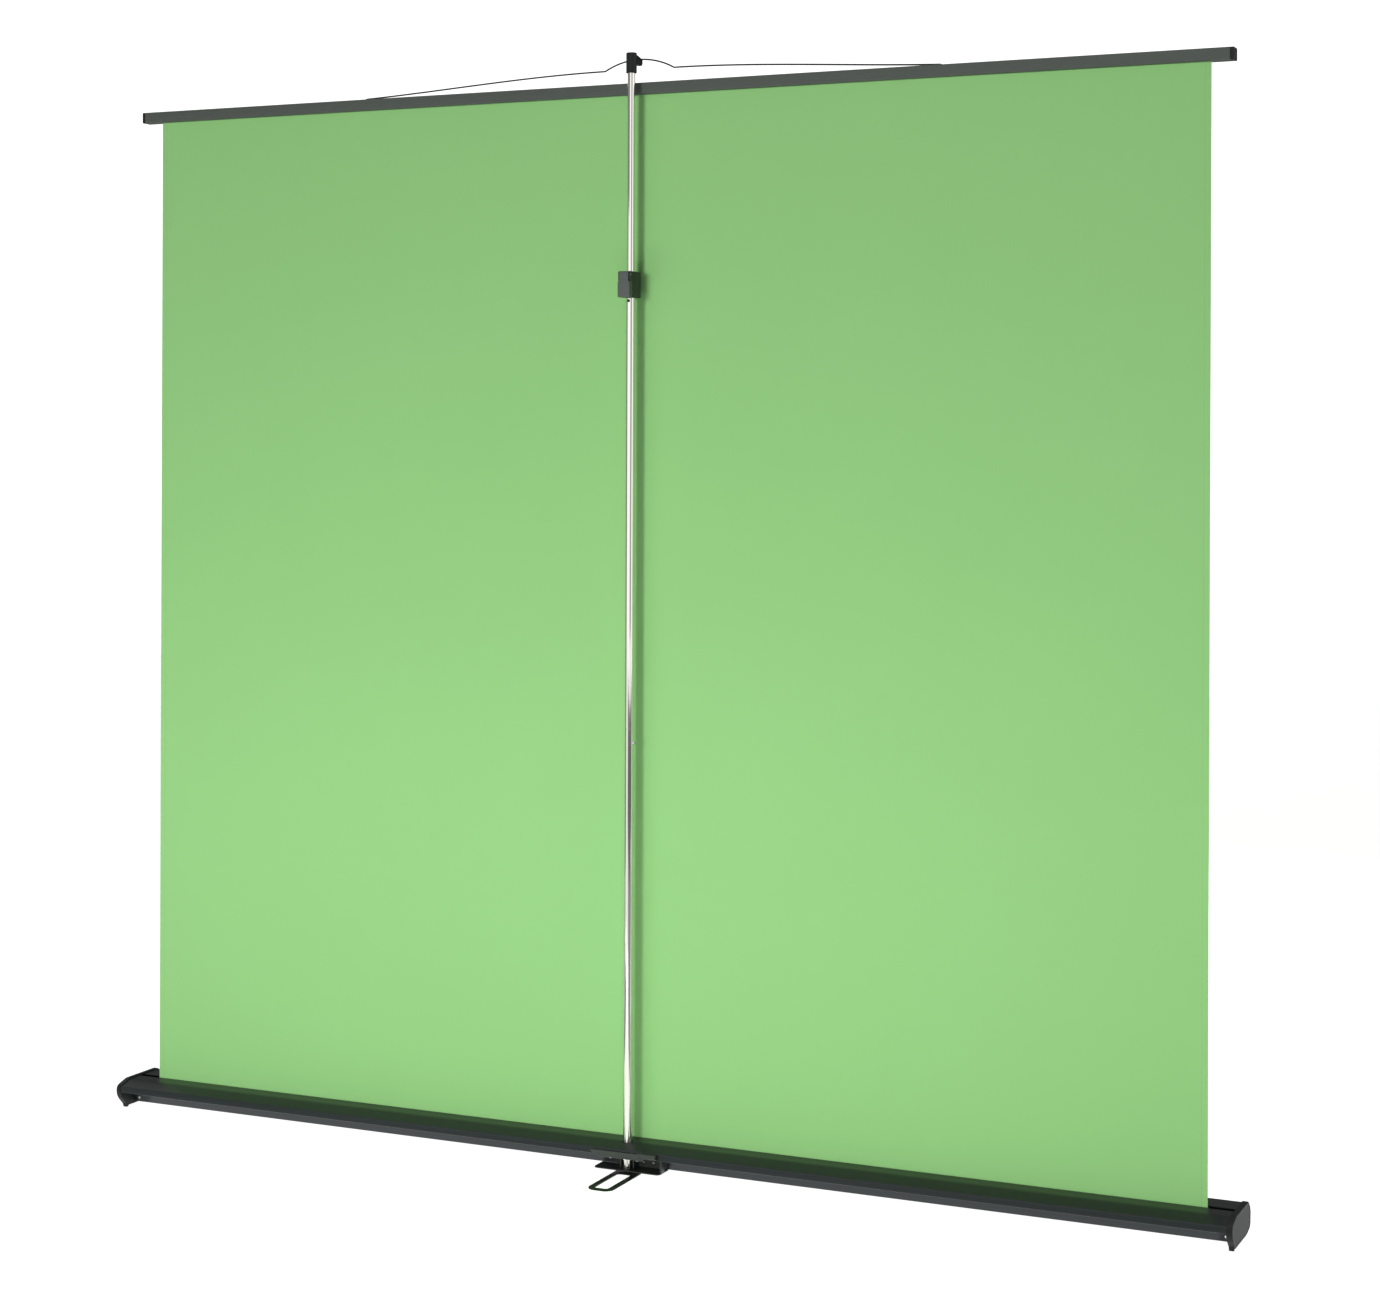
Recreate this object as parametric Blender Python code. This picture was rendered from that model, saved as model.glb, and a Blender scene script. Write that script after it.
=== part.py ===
"""Portable chroma key screen: a green sheet pulled up from a spring roller in a long floor casing.

A telescopic mast behind the sheet stands in a bracket on the casing and carries the top bar by a wire
hanger. Lengths are in metres. X runs along the casing, Z is up, and the mast stands on the -Y side of
the sheet. The object is modelled about the sheet's own plane and then set so that its box is centred.
"""
import math

import bmesh
import bpy
from mathutils import Matrix, Vector

# Sheet
fabric_width = 2.000
fabric_height = 1.808
fabric_thickness = 0.0004
wraps_left = 2

# Clearance between pieces that touch, and how far a cutter runs past a face
gap = 0.0003
overrun = 0.002

# Casing extrusion: its section is drawn from the sheet's plane
casing_overhang = 0.043
casing_top = 0.051
casing_bottom = 0.0045
casing_front = 0.068
casing_rear = 0.062
casing_wall = 0.0016
slot_front = 0.010
slot_rear = 0.004
top_flat_front = 0.055
top_flat_rear = 0.034
front_belly_shares = ((1.0, 0.72), (0.975, 0.13))
front_heel = 0.042
recess_foot = 0.014
recess_wall = 0.020
recess_roof = 0.0255
ridge_low = 0.0315
ridge_high = 0.0425
ridge_step = 0.0040
casing_fillet = 0.0025
belly_fillet = 0.012
seal_lap = 0.005
seal_thickness = 0.0012

# End caps
cap_thickness = 0.010
cap_margin = 0.0018
cap_bevel = 0.0018
cap_plug_depth = 0.018
cap_fillet = 0.010
cap_foot_y = 0.041
cap_foot_width = 0.004
cap_rear_shares = ((0.71, 0.09), (0.93, 0.36), (1.0, 0.59), (0.97, 0.83))
cap_screw_inset = 0.009
cap_screw_height = 0.014

# Roller
roller_radius = 0.0125
roller_wall = 0.0012
roller_overhang = 0.008
roller_flange = 0.003
roller_plug_depth = 0.030
pin_radius = 0.0030
pin_socket = 0.012
spring_length = 0.300
spring_turns = 24
spring_wire_radius = 0.0008
spring_coil_radius = 0.0068
anchor_length = 0.020

# Top bar and wire hanger
bar_depth = 0.025
bar_height = 0.020
bar_wall = 0.0014
bar_fillet = 0.0020
bar_overhang = 0.0315
bar_slot = 0.0030
bar_cap_thickness = 0.006
bar_cap_plug = 0.015
keder_radius = 0.0030
wire_radius = 0.0014
wire_reach = 0.5535
wire_leg = 0.010
wire_bend = 0.0045
wire_end_fall_share = 0.040
kink_reach = 0.066
kink_rise = 0.0246
hump_rise = 0.0173
ferrule_radius = 0.0045
ferrule_length = 0.0070

# Mast
mast_behind = 0.032
lower_radius = 0.0080
upper_radius = 0.0066
tube_wall = 0.0008
joint_height = 0.762
joint_sleeve_length = 0.180
button_below_joint = 0.024
button_radius = 0.0032
button_stand = 0.0038
button_flange = 0.0012
button_flange_radius = 0.0045
leaf_width = 0.0050
leaf_length = 0.056
leaf_thickness = 0.0006
rivet_radius = 0.0026
rivet_height = 0.0012
rivet_below_clamp = 0.005
upper_tube_length = 0.700
glide_length = 0.024
foot_plug_length = 0.020

# Clamp
clamp_low = 1.505
clamp_height = 0.045
clamp_width = 0.0228
clamp_front = 0.0187
clamp_rear = 0.0287
clamp_lever_depth = 0.0117
clamp_cheek = 0.0024
clamp_cheek_height = 0.018
clamp_cheek_reach = 0.0035
clamp_fillet = 0.0030
clamp_lip = 0.0015
clamp_pin_radius = 0.0015
guide_bush_height = 0.008

# Head hook
head_radius = 0.0092
head_height = 0.035
head_above_wire = 0.0071
head_crown = 0.0030
head_fillet = 0.0012
nose_half_width = 0.0036
nose_lip = 0.0036
nose_thickness = 0.0128
nose_rise = 0.0008
nose_root = 0.0090
nose_fillet = 0.0012
nose_chin = 0.0035
seat_depth = 0.0032

# Bracket on the casing's back, and its cover
bracket_left = 0.0565
bracket_right = 0.0695
bracket_rear = 0.0525
plate_low = 0.0035
plate_thickness = 0.0020
back_wall_thickness = 0.0024
end_post_thickness = 0.0030
end_post_depth = 0.0145
rib_thickness = 0.0024
rib_gap = 0.0030
rib_shortfall = 0.0050
peg_radius = 0.0040
peg_height = 0.012
bracket_tip_fillet = 0.008
bracket_corner_fillet = 0.008
bracket_inner_left = -0.028
cover_left = 0.054
cover_right = 0.046
cover_rear = 0.0665
cover_high = 0.0395
cover_taper = 0.022
cover_tip = 0.003
cover_groove = 0.0016
cover_swell = 0.0008
cover_leg_front = 0.0535
cover_leg_thickness = 0.0024
cover_screw_behind = 0.0565
cover_screw_xs = (-0.020, 0.030)
boss_length = 0.024
boss_radius = 0.0045
boss_height = 0.0375
bracket_screw_xs = (0.0255, 0.0445)
bracket_screw_height = 0.015

# Screws
screw_radius = 0.0015
screw_length = 0.009
screw_head_radius = 0.0030
screw_head_height = 0.0018
screw_shoulder_share = 0.45
screw_crown_share = 0.6

# Loop foot
foot_reach = 0.165
foot_front = 0.036
foot_centre_x = 0.008
foot_width = 0.047
foot_strap = 0.0105
foot_thickness = 0.0020
foot_web = 0.024
foot_outer_fillet = 0.016
foot_front_fillet = 0.010
foot_pivot_behind = 0.044
foot_rivet_radius = 0.0030
foot_rivet_head = 0.0052
foot_rivet_head_height = 0.0008
foot_rivet_top = 0.0045
foot_rivet_top_height = 0.0010
foot_washer_radius = 0.0070

# Pads under the casing's front
pad_radius = 0.010
pad_behind_heel = 0.012
pad_chamfer = 0.001
pad_shares = {"front_pad_left": -0.88, "front_pad_middle": 0.0, "front_pad_right": 0.88}

# How finely round shapes are divided
fillet_steps = 5
round_steps = 24
fine_steps = 36
screw_steps = 12
dome_points = 4
coil_points = 6
hump_points = 10
wing_points = 16
bend_points = 4

# Places worked out from the sizes above
fabric_plane_y = (foot_reach - casing_front - cap_margin) / 2
casing_half = fabric_width / 2 + casing_overhang
bar_low = casing_top + fabric_height
bar_top = bar_low + bar_height
bar_half = fabric_width / 2 + bar_overhang
wire_top = bar_top + kink_rise + hump_rise
head_top = wire_top + head_above_wire
head_low = head_top - head_height
clamp_top = clamp_low + clamp_height
roll_radius = roller_radius + gap + wraps_left * fabric_thickness
roller_y = fabric_thickness / 2 + gap + roll_radius
roller_z = (casing_top + casing_bottom) / 2
roller_half = fabric_width / 2 + roller_overhang
plate_top = plate_low + plate_thickness
lower_bore = lower_radius - tube_wall
upper_bore = upper_radius - tube_wall
clamp_split = clamp_rear - clamp_lever_depth
clamp_pin_behind = clamp_split + gap + clamp_lever_depth / 2
clamp_pin_z = clamp_top - clamp_lever_depth / 2
middle_tube_top = clamp_top - clamp_lip - guide_bush_height - 2 * gap
upper_tube_top = head_top - head_crown
upper_tube_low = upper_tube_top - upper_tube_length
button_height = joint_height - button_below_joint
ridge_foot = casing_rear - ridge_step
ridge_under = ridge_low - casing_fillet / 2


def clear_scene():
    for obj in list(bpy.data.objects):
        bpy.data.objects.remove(obj, do_unlink=True)


def material(name, colour, roughness, metallic=0.0):
    """One Principled material; each piece gets its own."""
    made = bpy.data.materials.new(name)
    made.use_nodes = True
    made.diffuse_color = (*colour, 1.0)
    shader = made.node_tree.nodes["Principled BSDF"]
    shader.inputs["Base Color"].default_value = (*colour, 1.0)
    shader.inputs["Roughness"].default_value = roughness
    shader.inputs["Metallic"].default_value = metallic
    return made


# Finishes: colour, roughness, metallic
dark_anodised = ((0.045, 0.050, 0.052), 0.42, 0.75)
black_plastic = ((0.018, 0.021, 0.020), 0.50, 0.0)
polished_steel = ((0.72, 0.70, 0.66), 0.14, 1.0)
plain_steel = ((0.50, 0.50, 0.49), 0.35, 1.0)
black_steel = ((0.030, 0.032, 0.030), 0.38, 0.6)
green_fabric = ((0.245, 0.610, 0.215), 0.92, 0.0)
grey_felt = ((0.060, 0.062, 0.060), 0.95, 0.0)
black_rubber = ((0.020, 0.020, 0.020), 0.85, 0.0)
raw_aluminium = ((0.60, 0.61, 0.62), 0.40, 1.0)
cream_plastic = ((0.62, 0.60, 0.54), 0.45, 0.0)


def guide(name, place, parent=None):
    """An empty that holds a place or an axis."""
    empty = bpy.data.objects.new(name, None)
    empty.location = place
    empty.parent = parent
    bpy.context.collection.objects.link(empty)
    return empty


def piece(name, bm, finish, parent, place=(0, 0, 0)):
    """Turns a bmesh into a named solid under its parent."""
    mesh = bpy.data.meshes.new(name)
    bm.to_mesh(mesh)
    bm.free()
    mesh.shade_smooth()
    mesh.set_sharp_from_angle(angle=math.radians(35))
    mesh.materials.append(material(name, *finish))
    obj = bpy.data.objects.new(name, mesh)
    obj.location = place
    obj.parent = parent
    bpy.context.collection.objects.link(obj)
    return obj


def combine(obj, operation, bm):
    """Joins or cuts a piece with the solids of a bmesh, drawn in the piece's own coordinates."""
    mesh = bpy.data.meshes.new(f"{obj.name}_{operation.lower()}")
    bm.to_mesh(mesh)
    bm.free()
    tool = bpy.data.objects.new(mesh.name, mesh)
    tool.location = obj.location
    tool.parent = obj.parent
    tool.hide_render = True
    tool.display_type = "WIRE"
    bpy.context.collection.objects.link(tool)
    boolean = obj.modifiers.new(operation.lower(), "BOOLEAN")
    boolean.operation = operation
    boolean.solver = "EXACT"
    boolean.use_self = True
    boolean.object = tool


def rounded(corners):
    """Outline through (a, b, fillet radius) corners, each fillet as an arc."""
    points = []
    for i, (a, b, radius) in enumerate(corners):
        here = Vector((a, b))
        before = Vector(corners[i - 1][:2]) - here
        after = Vector(corners[(i + 1) % len(corners)][:2]) - here
        half = before.angle(after) / 2
        if radius <= 0 or math.pi / 2 - half < math.radians(1):
            points.append(here)
            continue
        reach = min(radius / math.tan(half), before.length / 2, after.length / 2)
        limited = reach * math.tan(half)
        bisector = (before.normalized() + after.normalized()).normalized()
        centre = here + bisector * (limited / math.sin(half))
        start = here + before.normalized() * reach - centre
        end = here + after.normalized() * reach - centre
        sweep = math.atan2(start.cross(end), start.dot(end))
        for step in range(fillet_steps + 1):
            turn = Matrix.Rotation(sweep * step / fillet_steps, 2)
            points.append(centre + turn @ start)
    return points


def inset(corners, distance):
    """The same corners moved inwards by a distance, for the inner side of a wall; clockwise from top."""
    moved = []
    for i, (a, b, radius) in enumerate(corners):
        here = Vector((a, b))
        into = (here - Vector(corners[i - 1][:2])).normalized()
        out = (Vector(corners[(i + 1) % len(corners)][:2]) - here).normalized()
        normal_in = Vector((into.y, -into.x))
        normal_out = Vector((out.y, -out.x))
        mitre = (normal_in + normal_out).normalized()
        place = here + mitre * (distance / mitre.dot(normal_in))
        turns_in = into.cross(out) < 0
        new_radius = max(radius - distance, 0) if turns_in else radius + distance
        moved.append((place.x, place.y, new_radius if radius else 0))
    return moved


def add(bm, part):
    """Adds one closed shape to a bmesh with its faces turned outwards."""
    bmesh.ops.recalc_face_normals(part, faces=part.faces)
    if part.calc_volume(signed=True) < 0:
        bmesh.ops.reverse_faces(part, faces=part.faces)
    mesh = bpy.data.meshes.new("part")
    part.to_mesh(mesh)
    part.free()
    bm.from_mesh(mesh)
    bpy.data.meshes.remove(mesh)
    return bm


def prism(bm, outline, low, high, axis):
    """Adds the outline extruded from low to high along X, Y or Z."""
    def place(a, b, level):
        return {"X": (level, a, b), "Y": (a, level, b), "Z": (a, b, level)}[axis]
    part = bmesh.new()
    face = part.faces.new([part.verts.new(place(a, b, low)) for a, b in outline])
    made = bmesh.ops.extrude_face_region(part, geom=[face])
    verts = [item for item in made["geom"] if isinstance(item, bmesh.types.BMVert)]
    bmesh.ops.translate(part, verts=verts, vec=Vector(place(0, 0, high - low)))
    return add(bm, part)


def block(bm, low, high):
    """Adds a box between two corners."""
    outline = [(low[0], low[1]), (high[0], low[1]), (high[0], high[1]), (low[0], high[1])]
    return prism(bm, outline, low[2], high[2], "Z")


def turned(bm, profile, axis="Z", centre=(0, 0, 0), steps=round_steps):
    """Adds a closed (radius, height) profile turned about an axis through the centre."""
    along, side = {"X": (Vector((1, 0, 0)), Vector((0, 1, 0))),
                   "Y": (Vector((0, 1, 0)), Vector((0, 0, 1))),
                   "Z": (Vector((0, 0, 1)), Vector((1, 0, 0)))}[axis]
    origin = Vector(centre)
    part = bmesh.new()
    verts = [part.verts.new(origin + along * height + side * radius) for radius, height in profile]
    edges = [part.edges.new((verts[i - 1], verts[i])) for i in range(len(verts))
             if profile[i - 1][0] or profile[i][0]]
    bmesh.ops.spin(part, geom=verts + edges, cent=origin, axis=along, angle=2 * math.pi, steps=steps,
                   use_merge=True, use_duplicate=False)
    bmesh.ops.remove_doubles(part, verts=part.verts, dist=gap / 30)
    bmesh.ops.dissolve_degenerate(part, edges=part.edges, dist=gap / 30)
    return add(bm, part)


def rod(bm, radius, low, high, axis="Z", centre=(0, 0, 0), steps=round_steps):
    """Adds a plain round bar."""
    return turned(bm, [(0, low), (radius, low), (radius, high), (0, high)], axis, centre, steps)


def ring(bm, inner, outer, low, high, axis="Z", centre=(0, 0, 0), steps=round_steps):
    """Adds a plain tube."""
    profile = [(inner, low), (outer, low), (outer, high), (inner, high)]
    return turned(bm, profile, axis, centre, steps)


def wire_piece(name, points, radius, finish, parent, sides=2):
    """A bent wire: a curve with a round bevel and filled ends."""
    curve = bpy.data.curves.new(name, "CURVE")
    curve.dimensions = "3D"
    curve.bevel_depth = radius
    curve.bevel_resolution = sides
    curve.use_fill_caps = True
    spline = curve.splines.new("POLY")
    spline.points.add(len(points) - 1)
    for target, point in zip(spline.points, points):
        target.co = (*point, 1.0)
    curve.materials.append(material(name, *finish))
    obj = bpy.data.objects.new(name, curve)
    obj.parent = parent
    bpy.context.collection.objects.link(obj)
    return obj


def casing_corners():
    """Corners of the casing's section, clockwise from the slot's front lip round to its rear lip."""
    height = casing_top - casing_bottom
    belly = [(casing_front * depth, casing_bottom + height * rise, belly_fillet)
             for depth, rise in front_belly_shares]
    return [(slot_front, casing_top, 0),
            (top_flat_front, casing_top, casing_fillet),
            *belly,
            (front_heel, casing_bottom, belly_fillet),
            (-recess_foot, casing_bottom, casing_fillet),
            (-recess_wall, recess_roof, casing_fillet),
            (-ridge_foot, ridge_under, casing_fillet / 2),
            (-casing_rear, ridge_low, casing_fillet / 2),
            (-casing_rear, ridge_high, casing_fillet),
            (-top_flat_rear, casing_top, belly_fillet),
            (-slot_rear, casing_top, 0)]


def recess_y(height):
    """Where the recess's wall stands at a height; the wall leans over the recess."""
    share = (height - casing_bottom) / (recess_roof - casing_bottom)
    return -recess_foot - (recess_wall - recess_foot) * share


def roof_z(y):
    """Height of the recess's roof, which climbs towards the ridge."""
    share = (-y - recess_wall) / (ridge_foot - recess_wall)
    return recess_roof + (ridge_under - recess_roof) * share


def on_recess_wall(x, height):
    """Frame on the recess's wall, with its Z axis square out of the wall."""
    lean = math.atan2(recess_wall - recess_foot, recess_roof - casing_bottom)
    turn = Matrix.Rotation(math.pi / 2 + lean, 4, "X")
    return Matrix.Translation((x, recess_y(height), height)) @ turn


def under_roof(x, y):
    """Frame under the recess's roof, with its Z axis square down from it."""
    climb = math.atan2(ridge_under - recess_roof, ridge_foot - recess_wall)
    turn = Matrix.Rotation(math.pi - climb, 4, "X")
    return Matrix.Translation((x, y, roof_z(y))) @ turn


def screw_piece(name, matrix, parent):
    """A pan head screw whose head rests just off the frame's XY plane and points along its Z."""
    shoulder = gap + screw_head_height * screw_shoulder_share
    crown = gap + screw_head_height
    bm = turned(bmesh.new(), [(0, -screw_length), (screw_radius, -screw_length), (screw_radius, gap),
                              (screw_head_radius, gap), (screw_head_radius, shoulder),
                              (screw_head_radius * screw_crown_share, crown), (0, crown)],
                steps=screw_steps)
    bm.transform(matrix)
    return piece(name, bm, plain_steel, parent)


def screw_hole(bm, matrix):
    """Adds the cutter of the same screw's hole."""
    part = rod(bmesh.new(), screw_radius + gap, -screw_length - gap, gap, steps=screw_steps)
    part.transform(matrix)
    return add(bm, part)


def cap_screw_frame(side):
    return on_recess_wall(side * (casing_half - cap_screw_inset), cap_screw_height)


def bracket_screw_frames():
    return [on_recess_wall(x, bracket_screw_height) for x in bracket_screw_xs]


def cover_screw_frames():
    return [under_roof(x, -cover_screw_behind) for x in cover_screw_xs]


def make_casing(frame):
    """The aluminium extrusion, a thin wall open along its top at the sheet's slot, and its seals."""
    outer = casing_corners()
    outline = rounded(outer) + rounded(inset(outer, casing_wall))[::-1]
    bm = prism(bmesh.new(), outline, -casing_half, casing_half, "X")
    casing = piece("casing_extrusion", bm, dark_anodised, frame)
    cuts = rod(bmesh.new(), lower_radius + 2 * gap, recess_roof - overrun, casing_top + overrun,
               centre=(0, -mast_behind, 0), steps=fine_steps)
    for matrix in bracket_screw_frames() + cover_screw_frames() + [cap_screw_frame(-1), cap_screw_frame(1)]:
        screw_hole(cuts, matrix)
    combine(casing, "DIFFERENCE", cuts)

    under = casing_top - casing_wall - gap
    near = fabric_thickness / 2 + 2 * gap
    for name, low, high in (("slot_seal_front", near, slot_front + seal_lap),
                            ("slot_seal_rear", -slot_rear - seal_lap, -near)):
        bm = block(bmesh.new(), (-fabric_width / 2, low, under - seal_thickness),
                   (fabric_width / 2, high, under))
        piece(name, bm, grey_felt, frame)

    for name, share in pad_shares.items():
        bm = turned(bmesh.new(), [(0, 0), (pad_radius - pad_chamfer, 0), (pad_radius, pad_chamfer),
                                  (pad_radius, casing_bottom - gap), (0, casing_bottom - gap)],
                    centre=(casing_half * share, front_heel - pad_behind_heel, 0))
        piece(name, bm, black_rubber, frame)


def cap_corners():
    """Corners of an end cap's outline, clockwise from its top rear, with a small foot below."""
    front = casing_front + cap_margin
    rear = casing_rear + cap_margin
    top = casing_top + cap_margin
    low = casing_bottom - cap_margin
    belly = [(front * depth, low + (top - low) * rise, belly_fillet) for depth, rise in front_belly_shares]
    back = [(-rear * depth, low + (top - low) * rise, cap_fillet) for depth, rise in cap_rear_shares]
    return [(-top_flat_rear, top, cap_fillet),
            (top_flat_front, top, casing_fillet),
            *belly,
            (front_heel, low, belly_fillet),
            (-cap_foot_y + cap_foot_width, low, 0),
            (-cap_foot_y + cap_foot_width / 2, 0, 0),
            (-cap_foot_y - cap_foot_width / 2, 0, 0),
            *back]


def make_end_caps(frame):
    """Moulded caps that plug the casing's ends and close off its recess, each held by one screw."""
    for side, word in ((-1, "left"), (1, "right")):
        start = casing_half + gap
        bm = prism(bmesh.new(), rounded(cap_corners()), side * start,
                   side * (start + cap_thickness - cap_bevel), "X")
        outer_face = max(bm.faces, key=lambda face: side * face.calc_center_median().x)
        bmesh.ops.inset_region(bm, faces=[outer_face], thickness=cap_bevel, depth=cap_bevel,
                               use_even_offset=True)
        cap = piece(f"end_cap_{word}", bm, black_plastic, frame)
        plug = rounded(inset(casing_corners(), casing_wall + gap))
        combine(cap, "UNION", prism(bmesh.new(), plug, side * (casing_half - cap_plug_depth),
                                    side * (start + cap_bevel), "X"))
        inner_face = casing_half - cap_plug_depth
        cuts = bmesh.new()
        rod(cuts, pin_radius + gap, side * (inner_face - overrun), side * (inner_face + pin_socket + gap),
            "X", (0, roller_y, roller_z), fine_steps)
        screw_hole(cuts, cap_screw_frame(side))
        screw_piece(f"cap_screw_{word}", cap_screw_frame(side), frame)
        combine(cap, "DIFFERENCE", cuts)


def make_roller(frame):
    """Spring roller: tube, end plugs, pins, the winding spring and the turns of sheet left on it."""
    axis = guide("roller_axis", (0, roller_y, roller_z), frame)
    bore = roller_radius - roller_wall
    piece("roller_tube", ring(bmesh.new(), bore, roller_radius, -roller_half, roller_half, "X",
                              steps=fine_steps), raw_aluminium, axis)
    piece("fabric_roll", ring(bmesh.new(), roller_radius + gap, roll_radius, -fabric_width / 2,
                              fabric_width / 2, "X", steps=fine_steps), green_fabric, axis)

    for side, name in ((-1, "idler_plug"), (1, "drive_plug")):
        edge = roller_half + gap
        profile = [(pin_radius + gap, side * (edge + roller_flange)),
                   (roller_radius, side * (edge + roller_flange)),
                   (roller_radius, side * edge),
                   (bore - gap, side * edge),
                   (bore - gap, side * (edge - roller_plug_depth)),
                   (pin_radius + gap, side * (edge - roller_plug_depth))]
        piece(name, turned(bmesh.new(), profile, "X"), cream_plastic, axis)

    pin_end = casing_half - cap_plug_depth + pin_socket
    plug_end = roller_half + gap - roller_plug_depth
    piece("idler_pin", rod(bmesh.new(), pin_radius, -pin_end, -plug_end, "X"), plain_steel, axis)

    spring_end = plug_end - 2 * gap
    spring_start = spring_end - spring_length
    anchor_end = spring_start - anchor_length
    piece("spring_anchor", ring(bmesh.new(), pin_radius + gap, bore - gap, anchor_end,
                                spring_start - 2 * gap, "X"), cream_plastic, axis)
    piece("spring_mandrel", rod(bmesh.new(), pin_radius, anchor_end, pin_end, "X"), plain_steel, axis)

    tail = 2 * spring_wire_radius
    points = [(spring_start, spring_coil_radius, 0)]
    count = spring_turns * coil_points
    for i in range(count + 1):
        turn = 2 * math.pi * i / coil_points
        x = spring_start + tail + (spring_length - 2 * tail) * i / count
        points.append((x, spring_coil_radius * math.cos(turn), spring_coil_radius * math.sin(turn)))
    points.append((spring_end, spring_coil_radius, 0))
    wire_piece("roller_spring", points, spring_wire_radius, plain_steel, axis, 1)


def bar_block_corners():
    """Corners of the top bar's outline, clockwise from its low rear edge."""
    half = bar_depth / 2
    return [(-half, bar_low, bar_fillet), (-half, bar_top, bar_fillet),
            (half, bar_top, bar_fillet), (half, bar_low, bar_fillet)]


def bar_corners():
    """The same outline, open at the slot under the bar."""
    return [(-bar_slot / 2, bar_low, 0), *bar_block_corners(), (bar_slot / 2, bar_low, 0)]


def wire_height(x):
    """Height of the hanger's centre line: an arched hump between two kinks, then wings down to the bar."""
    if x <= kink_reach:
        arch = (kink_reach ** 2 + hump_rise ** 2) / (2 * hump_rise)
        return wire_top - arch + math.sqrt(arch ** 2 - x ** 2)
    end = wire_reach - wire_bend
    run = end - kink_reach
    t = (x - kink_reach) / run
    ease_out = (1 + 2 * t) * (1 - t) ** 2
    ease_in = t ** 2 * (3 - 2 * t)
    tail_slope = t ** 2 * (1 - t)
    rise = kink_rise * ease_out + (wire_radius + gap) * ease_in + wire_end_fall_share * run * tail_slope
    return bar_top + rise


def wire_points():
    """The hanger from one leg, sunk in the bar, over both wings and the hump to the other leg."""
    half = [(kink_reach * i / hump_points, wire_height(kink_reach * i / hump_points))
            for i in range(hump_points + 1)]
    end = wire_reach - wire_bend
    for i in range(1, wing_points + 1):
        x = kink_reach + (end - kink_reach) * i / wing_points
        half.append((x, wire_height(x)))
    bend_z = bar_top + wire_radius + gap - wire_bend
    for i in range(1, bend_points + 1):
        turn = math.pi / 2 * i / bend_points
        half.append((end + wire_bend * math.sin(turn), bend_z + wire_bend * math.cos(turn)))
    half.append((wire_reach, bar_top - wire_leg))
    left = [(-x, 0, z) for x, z in half[:0:-1]]
    return left + [(x, 0, z) for x, z in half]


def make_top_bar(frame):
    """The bar that carries the sheet: an extrusion, end caps, the keder in its slot and the hanger."""
    outer = bar_corners()
    outline = rounded(outer) + rounded(inset(outer, bar_wall))[::-1]
    bar = piece("top_bar", prism(bmesh.new(), outline, -bar_half, bar_half, "X"), dark_anodised, frame)
    holes = bmesh.new()
    hole = wire_radius + 2 * gap
    shelf = bar_top - bar_wall - gap
    throat = bar_top - wire_bend
    for side, word in ((-1, "left"), (1, "right")):
        inner = side * (wire_reach - wire_bend - hole)
        outline = rounded([(inner, -hole, hole), (inner, hole, hole),
                           (side * (wire_reach + hole), hole, hole), (side * (wire_reach + hole), -hole, hole)])
        prism(holes, outline, bar_top - bar_wall - overrun, bar_top + overrun, "Z")
        bm = turned(bmesh.new(), [(hole, shelf), (ferrule_radius, shelf),
                                  (ferrule_radius, shelf - ferrule_length),
                                  (wire_radius + gap, shelf - ferrule_length),
                                  (wire_radius + gap, throat), (hole, throat)],
                    centre=(side * wire_reach, 0, 0), steps=screw_steps)
        piece(f"wire_ferrule_{word}", bm, plain_steel, frame)
    combine(bar, "DIFFERENCE", holes)

    for side, name in ((-1, "bar_cap_left"), (1, "bar_cap_right")):
        start = bar_half + gap
        bm = prism(bmesh.new(), rounded(bar_block_corners()), side * start,
                   side * (start + bar_cap_thickness), "X")
        cap = piece(name, bm, black_plastic, frame)
        plug = rounded(inset(bar_block_corners(), bar_wall + gap))
        combine(cap, "UNION", prism(bmesh.new(), plug, side * (bar_half - bar_cap_plug),
                                    side * (start + bar_cap_thickness / 2), "X"))

    keder_z = bar_low + bar_wall + gap + keder_radius
    piece("keder_rod", rod(bmesh.new(), keder_radius, -fabric_width / 2, fabric_width / 2, "X",
                           (0, 0, keder_z), screw_steps), cream_plastic, frame)
    wire_piece("wire_hanger", wire_points(), wire_radius, black_steel, frame)

    bm = block(bmesh.new(), (-fabric_width / 2, -fabric_thickness / 2, roller_z),
               (fabric_width / 2, fabric_thickness / 2, bar_low + bar_wall))
    piece("fabric_sheet", bm, green_fabric, frame)


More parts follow.
